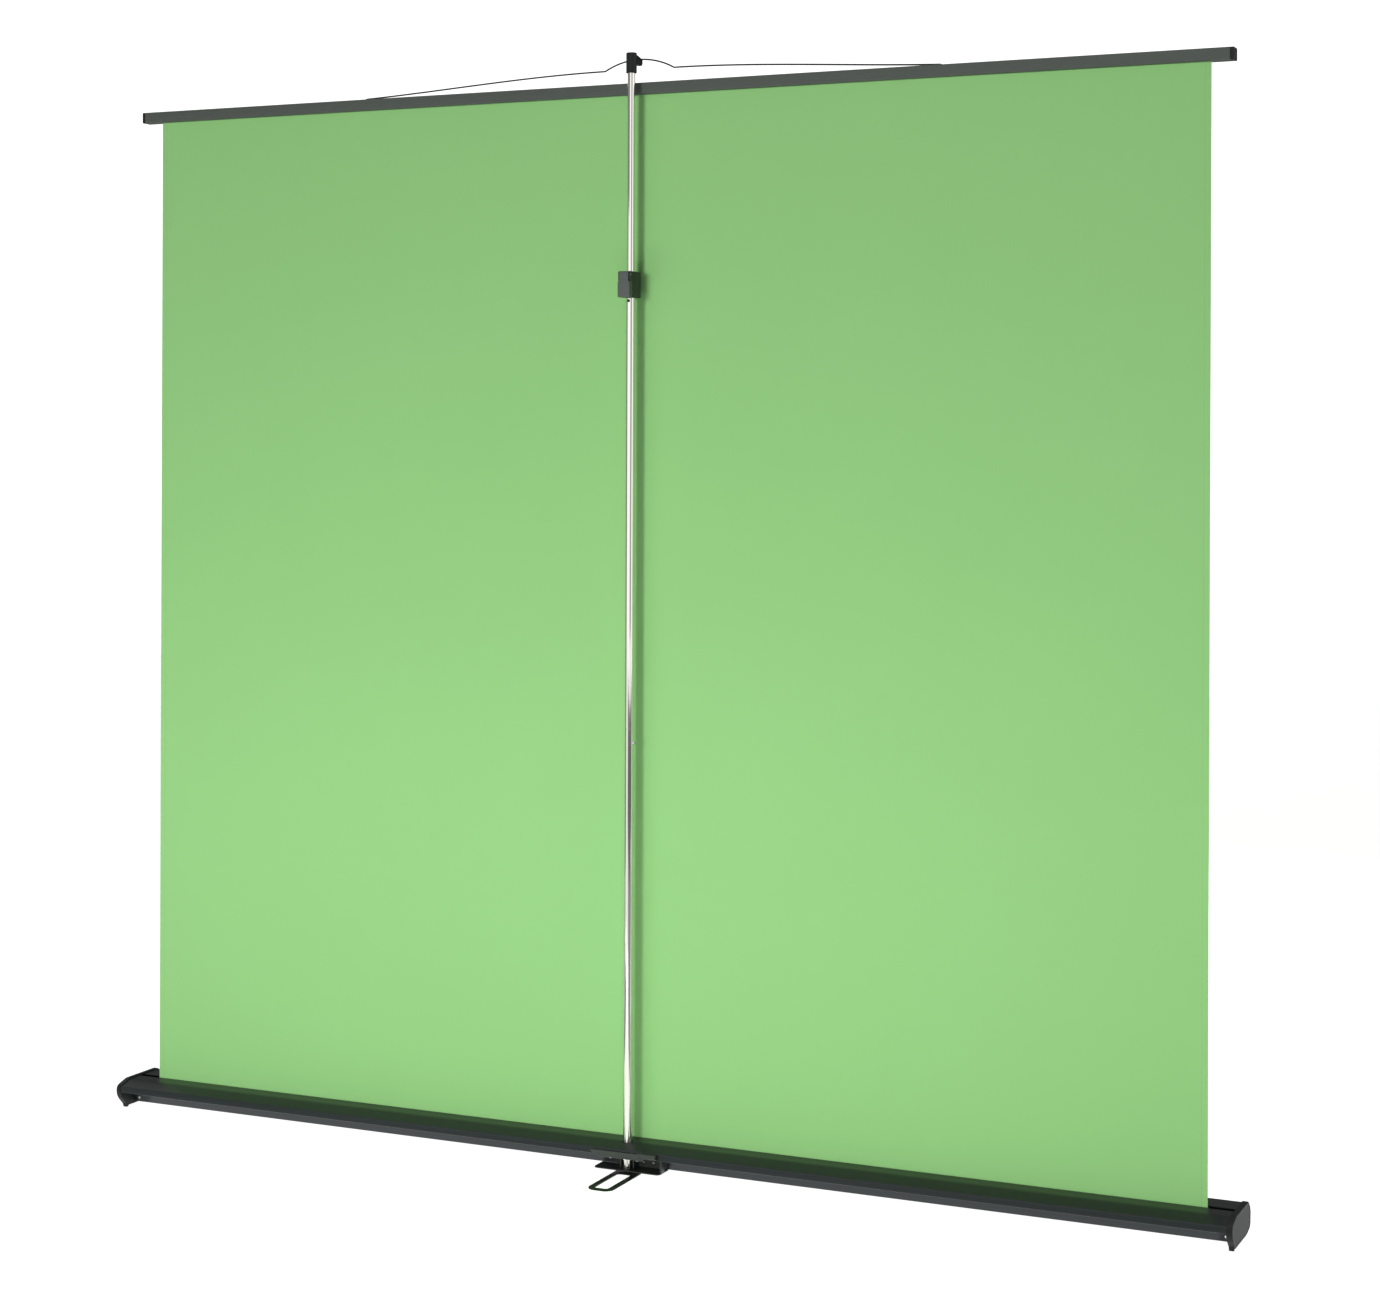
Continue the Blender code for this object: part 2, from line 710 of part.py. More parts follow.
def make_mast(axis):
    """Two lower tubes joined by a sleeve and a snap button, and the upper tube that slides in them."""
    foot = plate_top + gap
    lower = piece("lower_tube", ring(bmesh.new(), lower_bore, lower_radius, foot, joint_height - gap / 2,
                                     steps=fine_steps), polished_steel, axis)
    middle = piece("middle_tube", ring(bmesh.new(), lower_bore, lower_radius, joint_height + gap / 2,
                                       middle_tube_top, steps=fine_steps), polished_steel, axis)
    sleeve_radius = lower_bore - gap
    sleeve = piece("joint_sleeve", ring(bmesh.new(), sleeve_radius - tube_wall, sleeve_radius,
                                        joint_height - joint_sleeve_length / 2,
                                        joint_height + joint_sleeve_length / 2), plain_steel, axis)
    for tube in (lower, sleeve):
        combine(tube, "DIFFERENCE", rod(bmesh.new(), button_radius + gap, 0, lower_radius + overrun, "X",
                                        (0, 0, button_height), screw_steps))
    piece("foot_plug", ring(bmesh.new(), peg_radius + gap, lower_bore - gap, foot, foot + foot_plug_length),
          black_plastic, axis)

    flange_face = math.sqrt((sleeve_radius - tube_wall) ** 2 - button_flange_radius ** 2) - gap
    tip = lower_radius + button_stand
    button = [(0, flange_face - button_flange), (button_flange_radius, flange_face - button_flange),
              (button_flange_radius, flange_face), (button_radius, flange_face)]
    for i in range(dome_points + 1):
        turn = math.pi / 2 * i / dome_points
        button.append((button_radius * math.cos(turn), tip - button_radius * (1 - math.sin(turn))))
    button_axis = guide("button_axis", (0, 0, button_height), axis)
    piece("snap_button", turned(bmesh.new(), button, "X", steps=screw_steps), plain_steel, button_axis)
    make_snap_spring(axis, sleeve_radius - tube_wall, flange_face - button_flange)

    piece("upper_tube", ring(bmesh.new(), upper_bore, upper_radius, upper_tube_low, upper_tube_top,
                             steps=fine_steps), polished_steel, axis)
    skirt = upper_tube_low - gap
    piece("glide_plug", turned(bmesh.new(), [(0, skirt - glide_length / 3),
                                             (lower_bore - gap, skirt - glide_length / 3),
                                             (lower_bore - gap, skirt), (upper_bore - gap, skirt),
                                             (upper_bore - gap, skirt + glide_length * 2 / 3),
                                             (0, skirt + glide_length * 2 / 3)]), black_plastic, axis)

    rivet_z = clamp_low - rivet_below_clamp
    combine(middle, "DIFFERENCE", rod(bmesh.new(), rivet_radius / 2 + gap, -lower_radius - overrun, 0, "Y",
                                      (0, 0, rivet_z), screw_steps))
    face = -lower_radius - gap
    profile = [(0, face + tube_wall), (rivet_radius / 2, face + tube_wall), (rivet_radius / 2, face),
               (rivet_radius, face)]
    for i in range(1, dome_points + 1):
        turn = math.pi / 2 * i / dome_points
        profile.append((rivet_radius * math.cos(turn), face - rivet_height * math.sin(turn)))
    piece("clamp_rivet", turned(bmesh.new(), profile, "Y", (0, 0, rivet_z), screw_steps),
          black_steel, axis)


def make_snap_spring(axis, sleeve_bore, button_back):
    """A bent leaf against the sleeve's far side, with room for the button to travel."""
    near = button_back - button_stand - gap
    far = -math.sqrt(sleeve_bore ** 2 - (leaf_width / 2) ** 2) + gap
    low = button_height - leaf_length / 2
    high = button_height + leaf_length / 2
    outline = [(far, low), (far + leaf_thickness, low),
               (near, button_height), (far + leaf_thickness, high), (far, high),
               (near - 2 * leaf_thickness, button_height)]
    piece("snap_spring", prism(bmesh.new(), outline, -leaf_width / 2, leaf_width / 2, "Y"), plain_steel,
          axis)


def make_clamp(axis):
    """The mast's flip clamp: a block on the middle tube, a pin through its cheeks and a cam lever."""
    half = clamp_width / 2
    outline = rounded([(-half, -clamp_split, 0), (half, -clamp_split, 0),
                       (half, clamp_front, clamp_fillet), (-half, clamp_front, clamp_fillet)])
    body = piece("clamp_body", prism(bmesh.new(), outline, clamp_low, clamp_top, "Z"), black_plastic, axis)
    cheeks = bmesh.new()
    cheek_low = clamp_top - clamp_cheek_height
    cheek_rear = clamp_pin_behind + clamp_cheek_reach
    cheek = rounded([(-clamp_split + overrun, cheek_low, 0), (-clamp_split + overrun, clamp_top, 0),
                     (-cheek_rear, clamp_top, clamp_cheek_reach), (-cheek_rear, cheek_low, clamp_fillet)])
    for side in (-1, 1):
        prism(cheeks, cheek, side * (half - clamp_cheek), side * half, "X")
    combine(body, "UNION", cheeks)
    pin_hole = (clamp_pin_radius + gap, -half - overrun, half + overrun)
    bores = rod(bmesh.new(), lower_radius + gap, clamp_low - overrun, clamp_top - clamp_lip)
    rod(bores, upper_radius + 2 * gap, clamp_top - clamp_lip - overrun, clamp_top + overrun)
    rod(bores, *pin_hole, "X", (0, -clamp_pin_behind, clamp_pin_z), screw_steps)
    combine(body, "DIFFERENCE", bores)

    pin_axis = guide("clamp_pin_axis", (0, -clamp_pin_behind, clamp_pin_z), axis)
    piece("clamp_pin", rod(bmesh.new(), clamp_pin_radius, -half, half, "X", steps=screw_steps),
          plain_steel, pin_axis)
    cam = clamp_lever_depth / 2
    low = clamp_low - clamp_pin_z
    shoulder = cheek_low - gap - clamp_pin_z
    neck = half - clamp_cheek - gap
    outline = rounded([(-cam, low, clamp_fillet), (cam, low, 0), (cam, cam, cam), (-cam, cam, cam)])
    lever = piece("clamp_lever", prism(bmesh.new(), outline, -half, half, "X"), black_plastic, pin_axis)
    cuts = rod(bmesh.new(), *pin_hole, "X", steps=screw_steps)
    for side in (-1, 1):
        block(cuts, (side * neck, -cam - overrun, shoulder), (side * (half + overrun), cam + overrun,
                                                              cam + overrun))
    combine(lever, "DIFFERENCE", cuts)

    bush_low = middle_tube_top + gap
    piece("guide_bush", ring(bmesh.new(), upper_radius + gap, lower_radius, bush_low,
                             bush_low + guide_bush_height), cream_plastic, axis)


def make_head_hook(axis):
    """The cap on the upper tube, with a nose that reaches over the sheet and a seat for the hanger."""
    profile = [(0, head_low), (head_radius, head_low)]
    for i in range(dome_points + 1):
        turn = math.pi / 2 * i / dome_points
        profile.append((head_radius - head_fillet * (1 - math.cos(turn)),
                        head_top - head_fillet * (1 - math.sin(turn))))
    profile.append((0, head_top))
    head = piece("head_hook", turned(bmesh.new(), profile, steps=fine_steps), black_plastic, axis)

    seat_floor = wire_top - wire_radius - gap
    lip_top = seat_floor + seat_depth
    seat_half = wire_radius + gap
    tip = mast_behind + seat_half + nose_lip
    low = lip_top - nose_thickness
    nose = rounded([(0, head_top - head_fillet / 2, 0),
                    (nose_root, head_top - head_fillet / 2, 0),
                    (mast_behind - seat_half, lip_top + nose_rise, 0),
                    (mast_behind - seat_half, seat_floor, seat_half),
                    (mast_behind + seat_half, seat_floor, seat_half),
                    (mast_behind + seat_half, lip_top, 0),
                    (tip, lip_top, nose_fillet),
                    (tip, low + nose_chin, nose_fillet),
                    (tip - nose_chin, low, nose_fillet),
                    (0, low, 0)])
    combine(head, "UNION", prism(bmesh.new(), nose, -nose_half_width, nose_half_width, "X"))
    combine(head, "DIFFERENCE", rod(bmesh.new(), upper_radius + gap, head_low - overrun,
                                    upper_tube_top + gap, steps=fine_steps))


def make_bracket(frame):
    """The moulded bracket in the casing's recess: plate, back, a peg for the mast, ribs, end post."""
    back = recess_y(plate_top) - 2 * gap
    outline = rounded([(-bracket_left, back, 0), (bracket_right, back, 0),
                       (bracket_right, -bracket_rear, bracket_corner_fillet),
                       (-bracket_left, -bracket_rear, bracket_tip_fillet)])
    bracket = piece("mast_bracket", prism(bmesh.new(), outline, plate_low, plate_top, "Z"),
                    black_plastic, frame)
    shapes = bmesh.new()
    wall_low = (plate_low + plate_top) / 2
    wall_high = recess_roof - casing_fillet - gap
    near = 2 * gap
    far = near + back_wall_thickness
    prism(shapes, [(recess_y(wall_low) - near, wall_low), (recess_y(wall_low) - far, wall_low),
                   (recess_y(wall_high) - far, wall_high), (recess_y(wall_high) - near, wall_high)],
          bracket_inner_left, bracket_right, "X")
    rib_start = recess_y(wall_low) - near - back_wall_thickness / 2
    rib_reach = mast_behind + lower_radius - rib_shortfall

    def web(rear, low_x, high_x):
        top_front = -recess_wall - far
        prism(shapes, [(rib_start, wall_low), (-rear, wall_low), (-rear, roof_z(-rear) - 2 * gap),
                       (top_front, roof_z(top_front) - 2 * gap),
                       (recess_y(wall_high) - near - back_wall_thickness / 2, wall_high - gap)],
              low_x, high_x, "X")

    rod(shapes, peg_radius, wall_low, plate_top + peg_height, centre=(0, -mast_behind, 0))
    for side in (-1, 1):
        inner = side * (lower_radius + rib_gap)
        web(rib_reach, min(inner, inner + side * rib_thickness), max(inner, inner + side * rib_thickness))
    post_rear = bracket_rear - bracket_corner_fillet
    post_front = post_rear - end_post_depth
    prism(shapes, [(-post_front, wall_low), (-post_rear, wall_low),
                   (-post_rear, roof_z(-post_rear) - 2 * gap), (-post_front, roof_z(-post_front) - 2 * gap)],
          bracket_right - end_post_thickness, bracket_right, "X")
    combine(bracket, "UNION", shapes)

    cuts = bmesh.new()
    for number, matrix in enumerate(bracket_screw_frames(), 1):
        lifted = matrix @ Matrix.Translation((0, 0, far + gap))
        screw_hole(cuts, lifted)
        screw_piece(f"bracket_screw_{number}", lifted, frame)
    rod(cuts, foot_rivet_radius + gap, plate_low - overrun, plate_top + overrun,
        centre=(foot_centre_x, -foot_pivot_behind, 0))
    combine(bracket, "DIFFERENCE", cuts)


def make_cover(frame):
    """The fairing over the bracket: a face hung behind the ridge on a leg screwed under it."""
    face = -casing_rear - gap
    leg_top = roof_z(-cover_leg_front) - 2 * gap
    section = [(-cover_leg_front, leg_top - cover_leg_thickness), (-cover_leg_front, leg_top),
               (-ridge_foot, ridge_under - 2 * gap), (face, ridge_low - 2 * gap),
               (face - cover_groove, cover_high), (-cover_rear, cover_high),
               (-cover_rear - cover_swell, (cover_high + ridge_low) / 2),
               (-cover_rear, ridge_low - 2 * gap - cover_leg_thickness),
               (-ridge_foot, ridge_under - 2 * gap - cover_leg_thickness)]
    cover = piece("bracket_cover", prism(bmesh.new(), section, -cover_left, cover_right, "X"),
                  black_plastic, frame)
    boss = rod(bmesh.new(), boss_radius, cover_right - boss_length / 2, cover_right + boss_length, "X",
               (0, face - boss_radius, boss_height))
    combine(cover, "UNION", boss)
    cuts = bmesh.new()
    for number, matrix in enumerate(cover_screw_frames(), 1):
        lifted = matrix @ Matrix.Translation((0, 0, cover_leg_thickness + 2 * gap))
        screw_hole(cuts, lifted)
        screw_piece(f"cover_screw_{number}", lifted, frame)
    taper = [(-cover_left - overrun, leg_top - cover_leg_thickness - overrun),
             (-cover_left + cover_taper, leg_top - cover_leg_thickness - overrun),
             (-cover_left - overrun, cover_high - cover_tip)]
    prism(cuts, taper, -cover_rear - overrun * 2, -cover_leg_front + overrun, "Y")
    combine(cover, "DIFFERENCE", cuts)


def make_loop_foot(frame):
    """The loop foot: a flat steel ring that turns on a rivet under the bracket's plate."""
    axis = guide("foot_axis", (foot_centre_x, -foot_pivot_behind, 0), frame)
    half = foot_width / 2
    front = foot_pivot_behind - foot_front
    rear = foot_pivot_behind - foot_reach
    outer = rounded([(-half, rear, foot_outer_fillet), (half, rear, foot_outer_fillet),
                     (half, front, foot_front_fillet), (-half, front, foot_front_fillet)])
    foot = piece("loop_foot", prism(bmesh.new(), outer, 0, foot_thickness, "Z"), black_steel, axis)
    inner_half = half - foot_strap
    inner_fillet = foot_outer_fillet - foot_strap
    hole = rounded([(-inner_half, rear + foot_strap, inner_fillet),
                    (inner_half, rear + foot_strap, inner_fillet),
                    (inner_half, front - foot_web, inner_fillet),
                    (-inner_half, front - foot_web, inner_fillet)])
    cuts = prism(bmesh.new(), hole, -overrun, foot_thickness + overrun, "Z")
    sink = foot_rivet_head_height + gap
    turned(cuts, [(0, -overrun), (foot_rivet_head + gap, -overrun), (foot_rivet_head + gap, sink),
                  (foot_rivet_radius + gap, sink), (foot_rivet_radius + gap, foot_thickness + overrun),
                  (0, foot_thickness + overrun)])
    combine(foot, "DIFFERENCE", cuts)
    shoulder = plate_top + gap
    crown = shoulder + foot_rivet_top_height
    piece("foot_rivet", turned(bmesh.new(), [(0, gap), (foot_rivet_head, gap),
                                             (foot_rivet_head, foot_rivet_head_height),
                                             (foot_rivet_radius, foot_rivet_head_height),
                                             (foot_rivet_radius, shoulder), (foot_rivet_top, shoulder),
                                             (foot_rivet_top, crown), (0, crown)]), black_steel, axis)
    piece("foot_washer", ring(bmesh.new(), foot_rivet_radius + gap, foot_washer_radius,
                              foot_thickness + gap, plate_low - gap), black_plastic, axis)


clear_scene()
sheet_plane = guide("sheet_plane", (0, fabric_plane_y, 0))
mast_axis = guide("mast_axis", (0, -mast_behind, 0), sheet_plane)
make_casing(sheet_plane)
make_end_caps(sheet_plane)
make_roller(sheet_plane)
make_top_bar(sheet_plane)
make_mast(mast_axis)
make_clamp(mast_axis)
make_head_hook(mast_axis)
make_bracket(sheet_plane)
make_cover(sheet_plane)
make_loop_foot(sheet_plane)
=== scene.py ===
import math

import bmesh
import bpy
from mathutils import Matrix, Vector


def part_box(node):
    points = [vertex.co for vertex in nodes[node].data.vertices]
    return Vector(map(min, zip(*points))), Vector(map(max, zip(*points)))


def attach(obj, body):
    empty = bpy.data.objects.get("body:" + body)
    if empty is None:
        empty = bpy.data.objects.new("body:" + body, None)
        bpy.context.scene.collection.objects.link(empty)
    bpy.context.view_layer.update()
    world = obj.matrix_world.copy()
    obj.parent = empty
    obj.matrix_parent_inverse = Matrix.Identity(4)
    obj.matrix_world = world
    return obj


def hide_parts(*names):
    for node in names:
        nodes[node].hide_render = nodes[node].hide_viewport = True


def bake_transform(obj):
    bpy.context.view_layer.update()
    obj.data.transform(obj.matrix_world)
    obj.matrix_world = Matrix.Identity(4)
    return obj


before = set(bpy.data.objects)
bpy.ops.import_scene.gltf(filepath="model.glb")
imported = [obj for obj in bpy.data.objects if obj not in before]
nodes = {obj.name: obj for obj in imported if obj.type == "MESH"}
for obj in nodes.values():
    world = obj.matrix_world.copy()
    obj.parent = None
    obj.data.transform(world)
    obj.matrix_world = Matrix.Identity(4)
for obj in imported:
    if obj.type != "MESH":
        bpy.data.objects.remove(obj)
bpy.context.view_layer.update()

# Camera
# The camera stands behind the screen's right half at chest height, with a lens of about 68 mm on a
# 36 mm wide frame, held level and shifted down to take in the floor.
sheet_low, sheet_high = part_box("fabric_sheet")
sheet_y = (sheet_low.y + sheet_high.y) / 2
photo_width = 1380
photo_height = 1316
focal_pixels = 2598.4
level_row = 450.1
camera_turn = math.radians(24.36)
camera_roll = math.radians(0.2)
camera_place = Vector((1.943, sheet_y - 4.073, 1.243))

camera_data = bpy.data.cameras.new("camera")
camera_data.sensor_width = 36.0
camera_data.lens = camera_data.sensor_width * focal_pixels / photo_width
camera_data.shift_y = (level_row - photo_height / 2) / photo_width
camera_data.clip_end = 60.0
camera = bpy.data.objects.new("camera", camera_data)
bpy.context.scene.collection.objects.link(camera)
level_right = Vector((math.cos(camera_turn), math.sin(camera_turn), 0))
upright = Vector((0, 0, 1))
camera_right = level_right * math.cos(camera_roll) + upright * math.sin(camera_roll)
camera_up = upright * math.cos(camera_roll) - level_right * math.sin(camera_roll)
camera_turned = Matrix((camera_right, camera_up, camera_right.cross(camera_up))).transposed()
camera.matrix_world = Matrix.Translation(camera_place) @ camera_turned.to_4x4()
bpy.context.scene.camera = camera

# Studio
# A white floor and a white surround. The key comes from behind the screen, a low strip brings up its foot,
# and a soft box stands in front. No lamp is mirrored: cards give shiny pieces their light and dark bands.
scene = bpy.context.scene
scene.view_settings.view_transform = "Standard"


def link(tree, source, target):
    tree.links.new(source, target)


def seen_directly(tree):
    """1 for rays from the camera and for rays that gloss or glass sends on."""
    path = tree.nodes.new("ShaderNodeLightPath")
    either = tree.nodes.new("ShaderNodeMath")
    either.operation = "MAXIMUM"
    link(tree, path.outputs["Is Camera Ray"], either.inputs[0])
    link(tree, path.outputs["Is Glossy Ray"], either.inputs[1])
    all_three = tree.nodes.new("ShaderNodeMath")
    all_three.operation = "MAXIMUM"
    link(tree, either.outputs[0], all_three.inputs[0])
    link(tree, path.outputs["Is Transmission Ray"], all_three.inputs[1])
    return all_three.outputs[0]


ambient_level = 0.07
white_level = 1.25
world = bpy.data.worlds.new("surround")
scene.world = world
world.use_nodes = True
surround = world.node_tree
brightness = surround.nodes.new("ShaderNodeMapRange")
brightness.inputs["To Min"].default_value = ambient_level
brightness.inputs["To Max"].default_value = white_level
link(surround, seen_directly(surround), brightness.inputs["Value"])
background = surround.nodes["Background"]
link(surround, brightness.outputs["Result"], background.inputs["Strength"])
# What reaches the pieces from the surround has bounced off the green sheet first
bounce = surround.nodes.new("ShaderNodeMix")
bounce.data_type = "RGBA"
bounce.inputs["A"].default_value = (0.75, 1, 0.65, 1)
bounce.inputs["B"].default_value = (1, 1, 1, 1)
link(surround, seen_directly(surround), bounce.inputs["Factor"])
link(surround, bounce.outputs["Result"], background.inputs["Color"])

floor_half = 9.0
bm = bmesh.new()
bmesh.ops.create_grid(bm, x_segments=1, y_segments=1, size=floor_half)
floor_mesh = bpy.data.meshes.new("floor")
bm.to_mesh(floor_mesh)
bm.free()
floor = bpy.data.objects.new("floor", floor_mesh)
scene.collection.objects.link(floor)
floor_finish = bpy.data.materials.new("white_floor")
floor_finish.use_nodes = True
tree = floor_finish.node_tree
paint = tree.nodes["Principled BSDF"]
paint.inputs["Base Color"].default_value = (0.86, 0.86, 0.86, 1)
paint.inputs["Roughness"].default_value = 0.9
paint.inputs["Specular IOR Level"].default_value = 0.0
glow = tree.nodes.new("ShaderNodeMapRange")
glow.inputs["To Min"].default_value = 0.13
glow.inputs["To Max"].default_value = 0.955
link(tree, seen_directly(tree), glow.inputs["Value"])
paint.inputs["Emission Color"].default_value = (1, 1, 1, 1)
link(tree, glow.outputs["Result"], paint.inputs["Emission Strength"])
floor_mesh.materials.append(floor_finish)


def aim(obj, place, target):
    """Stands an object at a place and turns its -Z axis to a target."""
    facing = (Vector(target) - Vector(place)).to_track_quat("-Z", "Y")
    obj.matrix_world = Matrix.Translation(place) @ facing.to_matrix().to_4x4()
    scene.collection.objects.link(obj)


def soft_box(name, place, target, width, height, power):
    """A rectangular soft lamp that nothing mirrors."""
    lamp = bpy.data.lights.new(name, "AREA")
    lamp.shape = "RECTANGLE"
    lamp.size = width
    lamp.size_y = height
    lamp.energy = power
    box = bpy.data.objects.new(name, lamp)
    box.visible_glossy = False
    aim(box, place, target)


screen_middle = (0.0, sheet_y, 0.9)
key_lamp = bpy.data.lights.new("key", "SUN")
key_lamp.angle = math.radians(13)
key_lamp.energy = 1.69
key = bpy.data.objects.new("key", key_lamp)
key.visible_glossy = False
aim(key, (-0.46, -3.5, 1.05), screen_middle)
soft_box("low_strip", (-0.2, -1.75, 0.16), (-0.05, sheet_y, 0.18), 3.2, 0.3, 25)
soft_box("front_box", (0.8, 3.6, 1.8), screen_middle, 1.6, 1.6, 70)


def card(name, place, target, half_width, half_height, tone):
    """A card of one tone that faces a target and shows in reflections alone."""
    shade = bpy.data.materials.new(name)
    shade.use_nodes = True
    surface = shade.node_tree.nodes["Principled BSDF"]
    surface.inputs["Base Color"].default_value = (0, 0, 0, 1)
    surface.inputs["Roughness"].default_value = 1.0
    surface.inputs["Specular IOR Level"].default_value = 0.0
    surface.inputs["Emission Color"].default_value = (tone, tone, tone, 1)
    surface.inputs["Emission Strength"].default_value = 1.0
    bm = bmesh.new()
    bmesh.ops.create_grid(bm, x_segments=1, y_segments=1, size=1)
    bmesh.ops.scale(bm, vec=(half_width, half_height, 1), verts=bm.verts)
    mesh = bpy.data.meshes.new(name)
    bm.to_mesh(mesh)
    bm.free()
    mesh.materials.append(shade)
    obj = bpy.data.objects.new(name, mesh)
    aim(obj, place, target)
    obj.visible_camera = False
    obj.visible_diffuse = False
    obj.visible_shadow = False
    obj.visible_transmission = False
    obj.visible_volume_scatter = False


card("grey_card", (2.0, -2.2, 1.85), (0, 0, 1.85), 1.0, 1.15, 0.42)
card("left_card", (-2.95, -0.6, 1.5), (0, 0, 1.5), 1.5, 1.5, 0.26)
card("low_card", (1.9, -2.3, 0.25), (0, 0, 0.25), 3.0, 0.25, 0.16)
card("high_card", (-2.12, -2.12, 2.6), (0, 0, 2.6), 1.6, 0.65, 0.27)
card("front_card", (-0.8, 2.8, 2.5), (-0.8, 0, 2.5), 3.8, 2.45, 0.12)
card("dark_floor", (1.9, -1.7, 0.002), (1.9, -1.7, 1), 1.35, 1.45, 0.32)
card("left_floor", (-2.125, -0.75, 0.002), (-2.125, -0.75, 1), 1.375, 0.6, 0.27)
card("floor_flag", (0, sheet_y - 0.185, 0.002), (0, sheet_y - 0.185, 1), 1.2, 0.035, 0.06)
card("bright_floor", (0, sheet_y - 0.036, 0.001), (0, sheet_y - 0.036, 1), 1.02, 0.021, 2.4)


# Casing
# One aluminium extrusion about two metres long, anodised dark grey: a belly in front, a slot along the
# top for the sheet, and at the back a ridge with an open recess under it. Cut square and capped.
casing_half = 1.043
casing_wall = 0.0016
casing_bottom = 0.0045
casing_top = 0.0510
recess_foot = -0.0140
recess_wall = -0.0200
recess_roof = 0.0255
ridge_foot = -0.0580
ridge_under = 0.03025
casing_corners = [
    (0.010, casing_top, 0), (0.055, casing_top, 0.0018), (0.068, 0.0380, 0.0060), (0.0663, 0.0105, 0.0070),
    (0.042, casing_bottom, 0.0060), (recess_foot, casing_bottom, 0.0020), (recess_wall, recess_roof, 0.0020),
    (ridge_foot, ridge_under, 0.0010), (-0.062, 0.0315, 0.0006), (-0.062, 0.0425, 0.0020),
    (-0.034, casing_top, 0.0050), (-0.004, casing_top, 0)]
casing_steps = 8
mast_behind = 0.032
mast_y = sheet_y - mast_behind
mast_hole = 0.0092
mast_hole_low = 0.034
mast_hole_high = 0.056
touching = 2e-5
merging = 1e-6
smooth_below = math.radians(32)


def in_plane(axis, a, b, level):
    """The point (a, b) of a drawing that lies square to one axis, at a level along it."""
    return Vector({"X": (level, a, b), "Y": (a, level, b), "Z": (a, b, level)}[axis])


def from_sheet(corners):
    """Corners measured from the sheet's plane, moved to where that plane stands."""
    return [(sheet_y + a, b, setback) for a, b, setback in corners]


def round_along(bm, axis, corners, steps):
    """Rounds the edges that run along one axis through (a, b, setback) corners."""
    along = in_plane(axis, 0, 0, 1)
    for a, b, setback in corners:
        if not setback:
            continue
        corner = in_plane(axis, a, b, 0)
        edges = [edge for edge in bm.edges
                 if all((v.co - corner).cross(along).length < touching for v in edge.verts)]
        bmesh.ops.bevel(bm, geom=edges, offset=setback, offset_type="OFFSET", affect="EDGES",
                        segments=steps, profile=0.5, material=-1)


def strip(axis, corners, low, high, wall, steps):
    """A thin wall along an open outline of (a, b, setback) corners, pushed from low to high."""
    bm = bmesh.new()
    verts = [bm.verts.new(in_plane(axis, a, b, low)) for a, b, _ in corners]
    edges = [bm.edges.new(pair) for pair in zip(verts, verts[1:])]
    pushed = bmesh.ops.extrude_edge_only(bm, edges=edges)["geom"]
    bmesh.ops.translate(bm, vec=in_plane(axis, 0, 0, high - low),
                        verts=[item for item in pushed if isinstance(item, bmesh.types.BMVert)])
    round_along(bm, axis, corners, steps)
    bmesh.ops.recalc_face_normals(bm, faces=bm.faces)
    bmesh.ops.solidify(bm, geom=bm.faces, thickness=wall)
    return bm


def solid(axis, corners, low, high, steps=6):
    """A closed outline of (a, b, setback) corners pushed from low to high."""
    bm = bmesh.new()
    face = bm.faces.new([bm.verts.new(in_plane(axis, a, b, low)) for a, b, _ in corners])
    pushed = bmesh.ops.extrude_face_region(bm, geom=[face])["geom"]
    bmesh.ops.translate(bm, vec=in_plane(axis, 0, 0, high - low),
                        verts=[item for item in pushed if isinstance(item, bmesh.types.BMVert)])
    round_along(bm, axis, corners, steps)
    bmesh.ops.recalc_face_normals(bm, faces=bm.faces)
    return bm


def lathed(axis, profile, centre, steps=64):
    """A closed (radius, height) profile turned about an axis through the centre."""
    along = in_plane(axis, 0, 0, 1)
    side = in_plane(axis, 1, 0, 0)
    bm = bmesh.new()
    verts = [bm.verts.new(Vector(centre) + along * height + side * radius) for radius, height in profile]
    edges = [bm.edges.new((verts[i - 1], verts[i])) for i in range(len(verts))
             if profile[i - 1][0] or profile[i][0]]
    bmesh.ops.spin(bm, geom=verts + edges, cent=centre, axis=along, angle=2 * math.pi, steps=steps,
                   use_merge=True, use_duplicate=False)
    bmesh.ops.remove_doubles(bm, verts=bm.verts, dist=merging)
    bmesh.ops.recalc_face_normals(bm, faces=bm.faces)
    return bm


def soften(bm, width, steps=2, sharper_than=30):
    """Breaks every edge sharper than an angle."""
    edges = [edge for edge in bm.edges if edge.calc_face_angle(0) > math.radians(sharper_than)]
    bmesh.ops.bevel(bm, geom=edges, offset=width, offset_type="OFFSET", affect="EDGES", segments=steps,
                    profile=0.5, material=-1, clamp_overlap=True)
    return bm


def made_of(name, bm, finish):
    """A mesh object from a bmesh, smooth but for its sharp edges."""
    if bm.calc_volume(signed=True) < 0:
        bmesh.ops.reverse_faces(bm, faces=bm.faces)
    mesh = bpy.data.meshes.new(name)
    bm.to_mesh(mesh)
    bm.free()
    mesh.shade_smooth()
    mesh.set_sharp_from_angle(angle=smooth_below)
    mesh.materials.append(finish)
    obj = bpy.data.objects.new(name, mesh)
    scene.collection.objects.link(obj)
    return obj


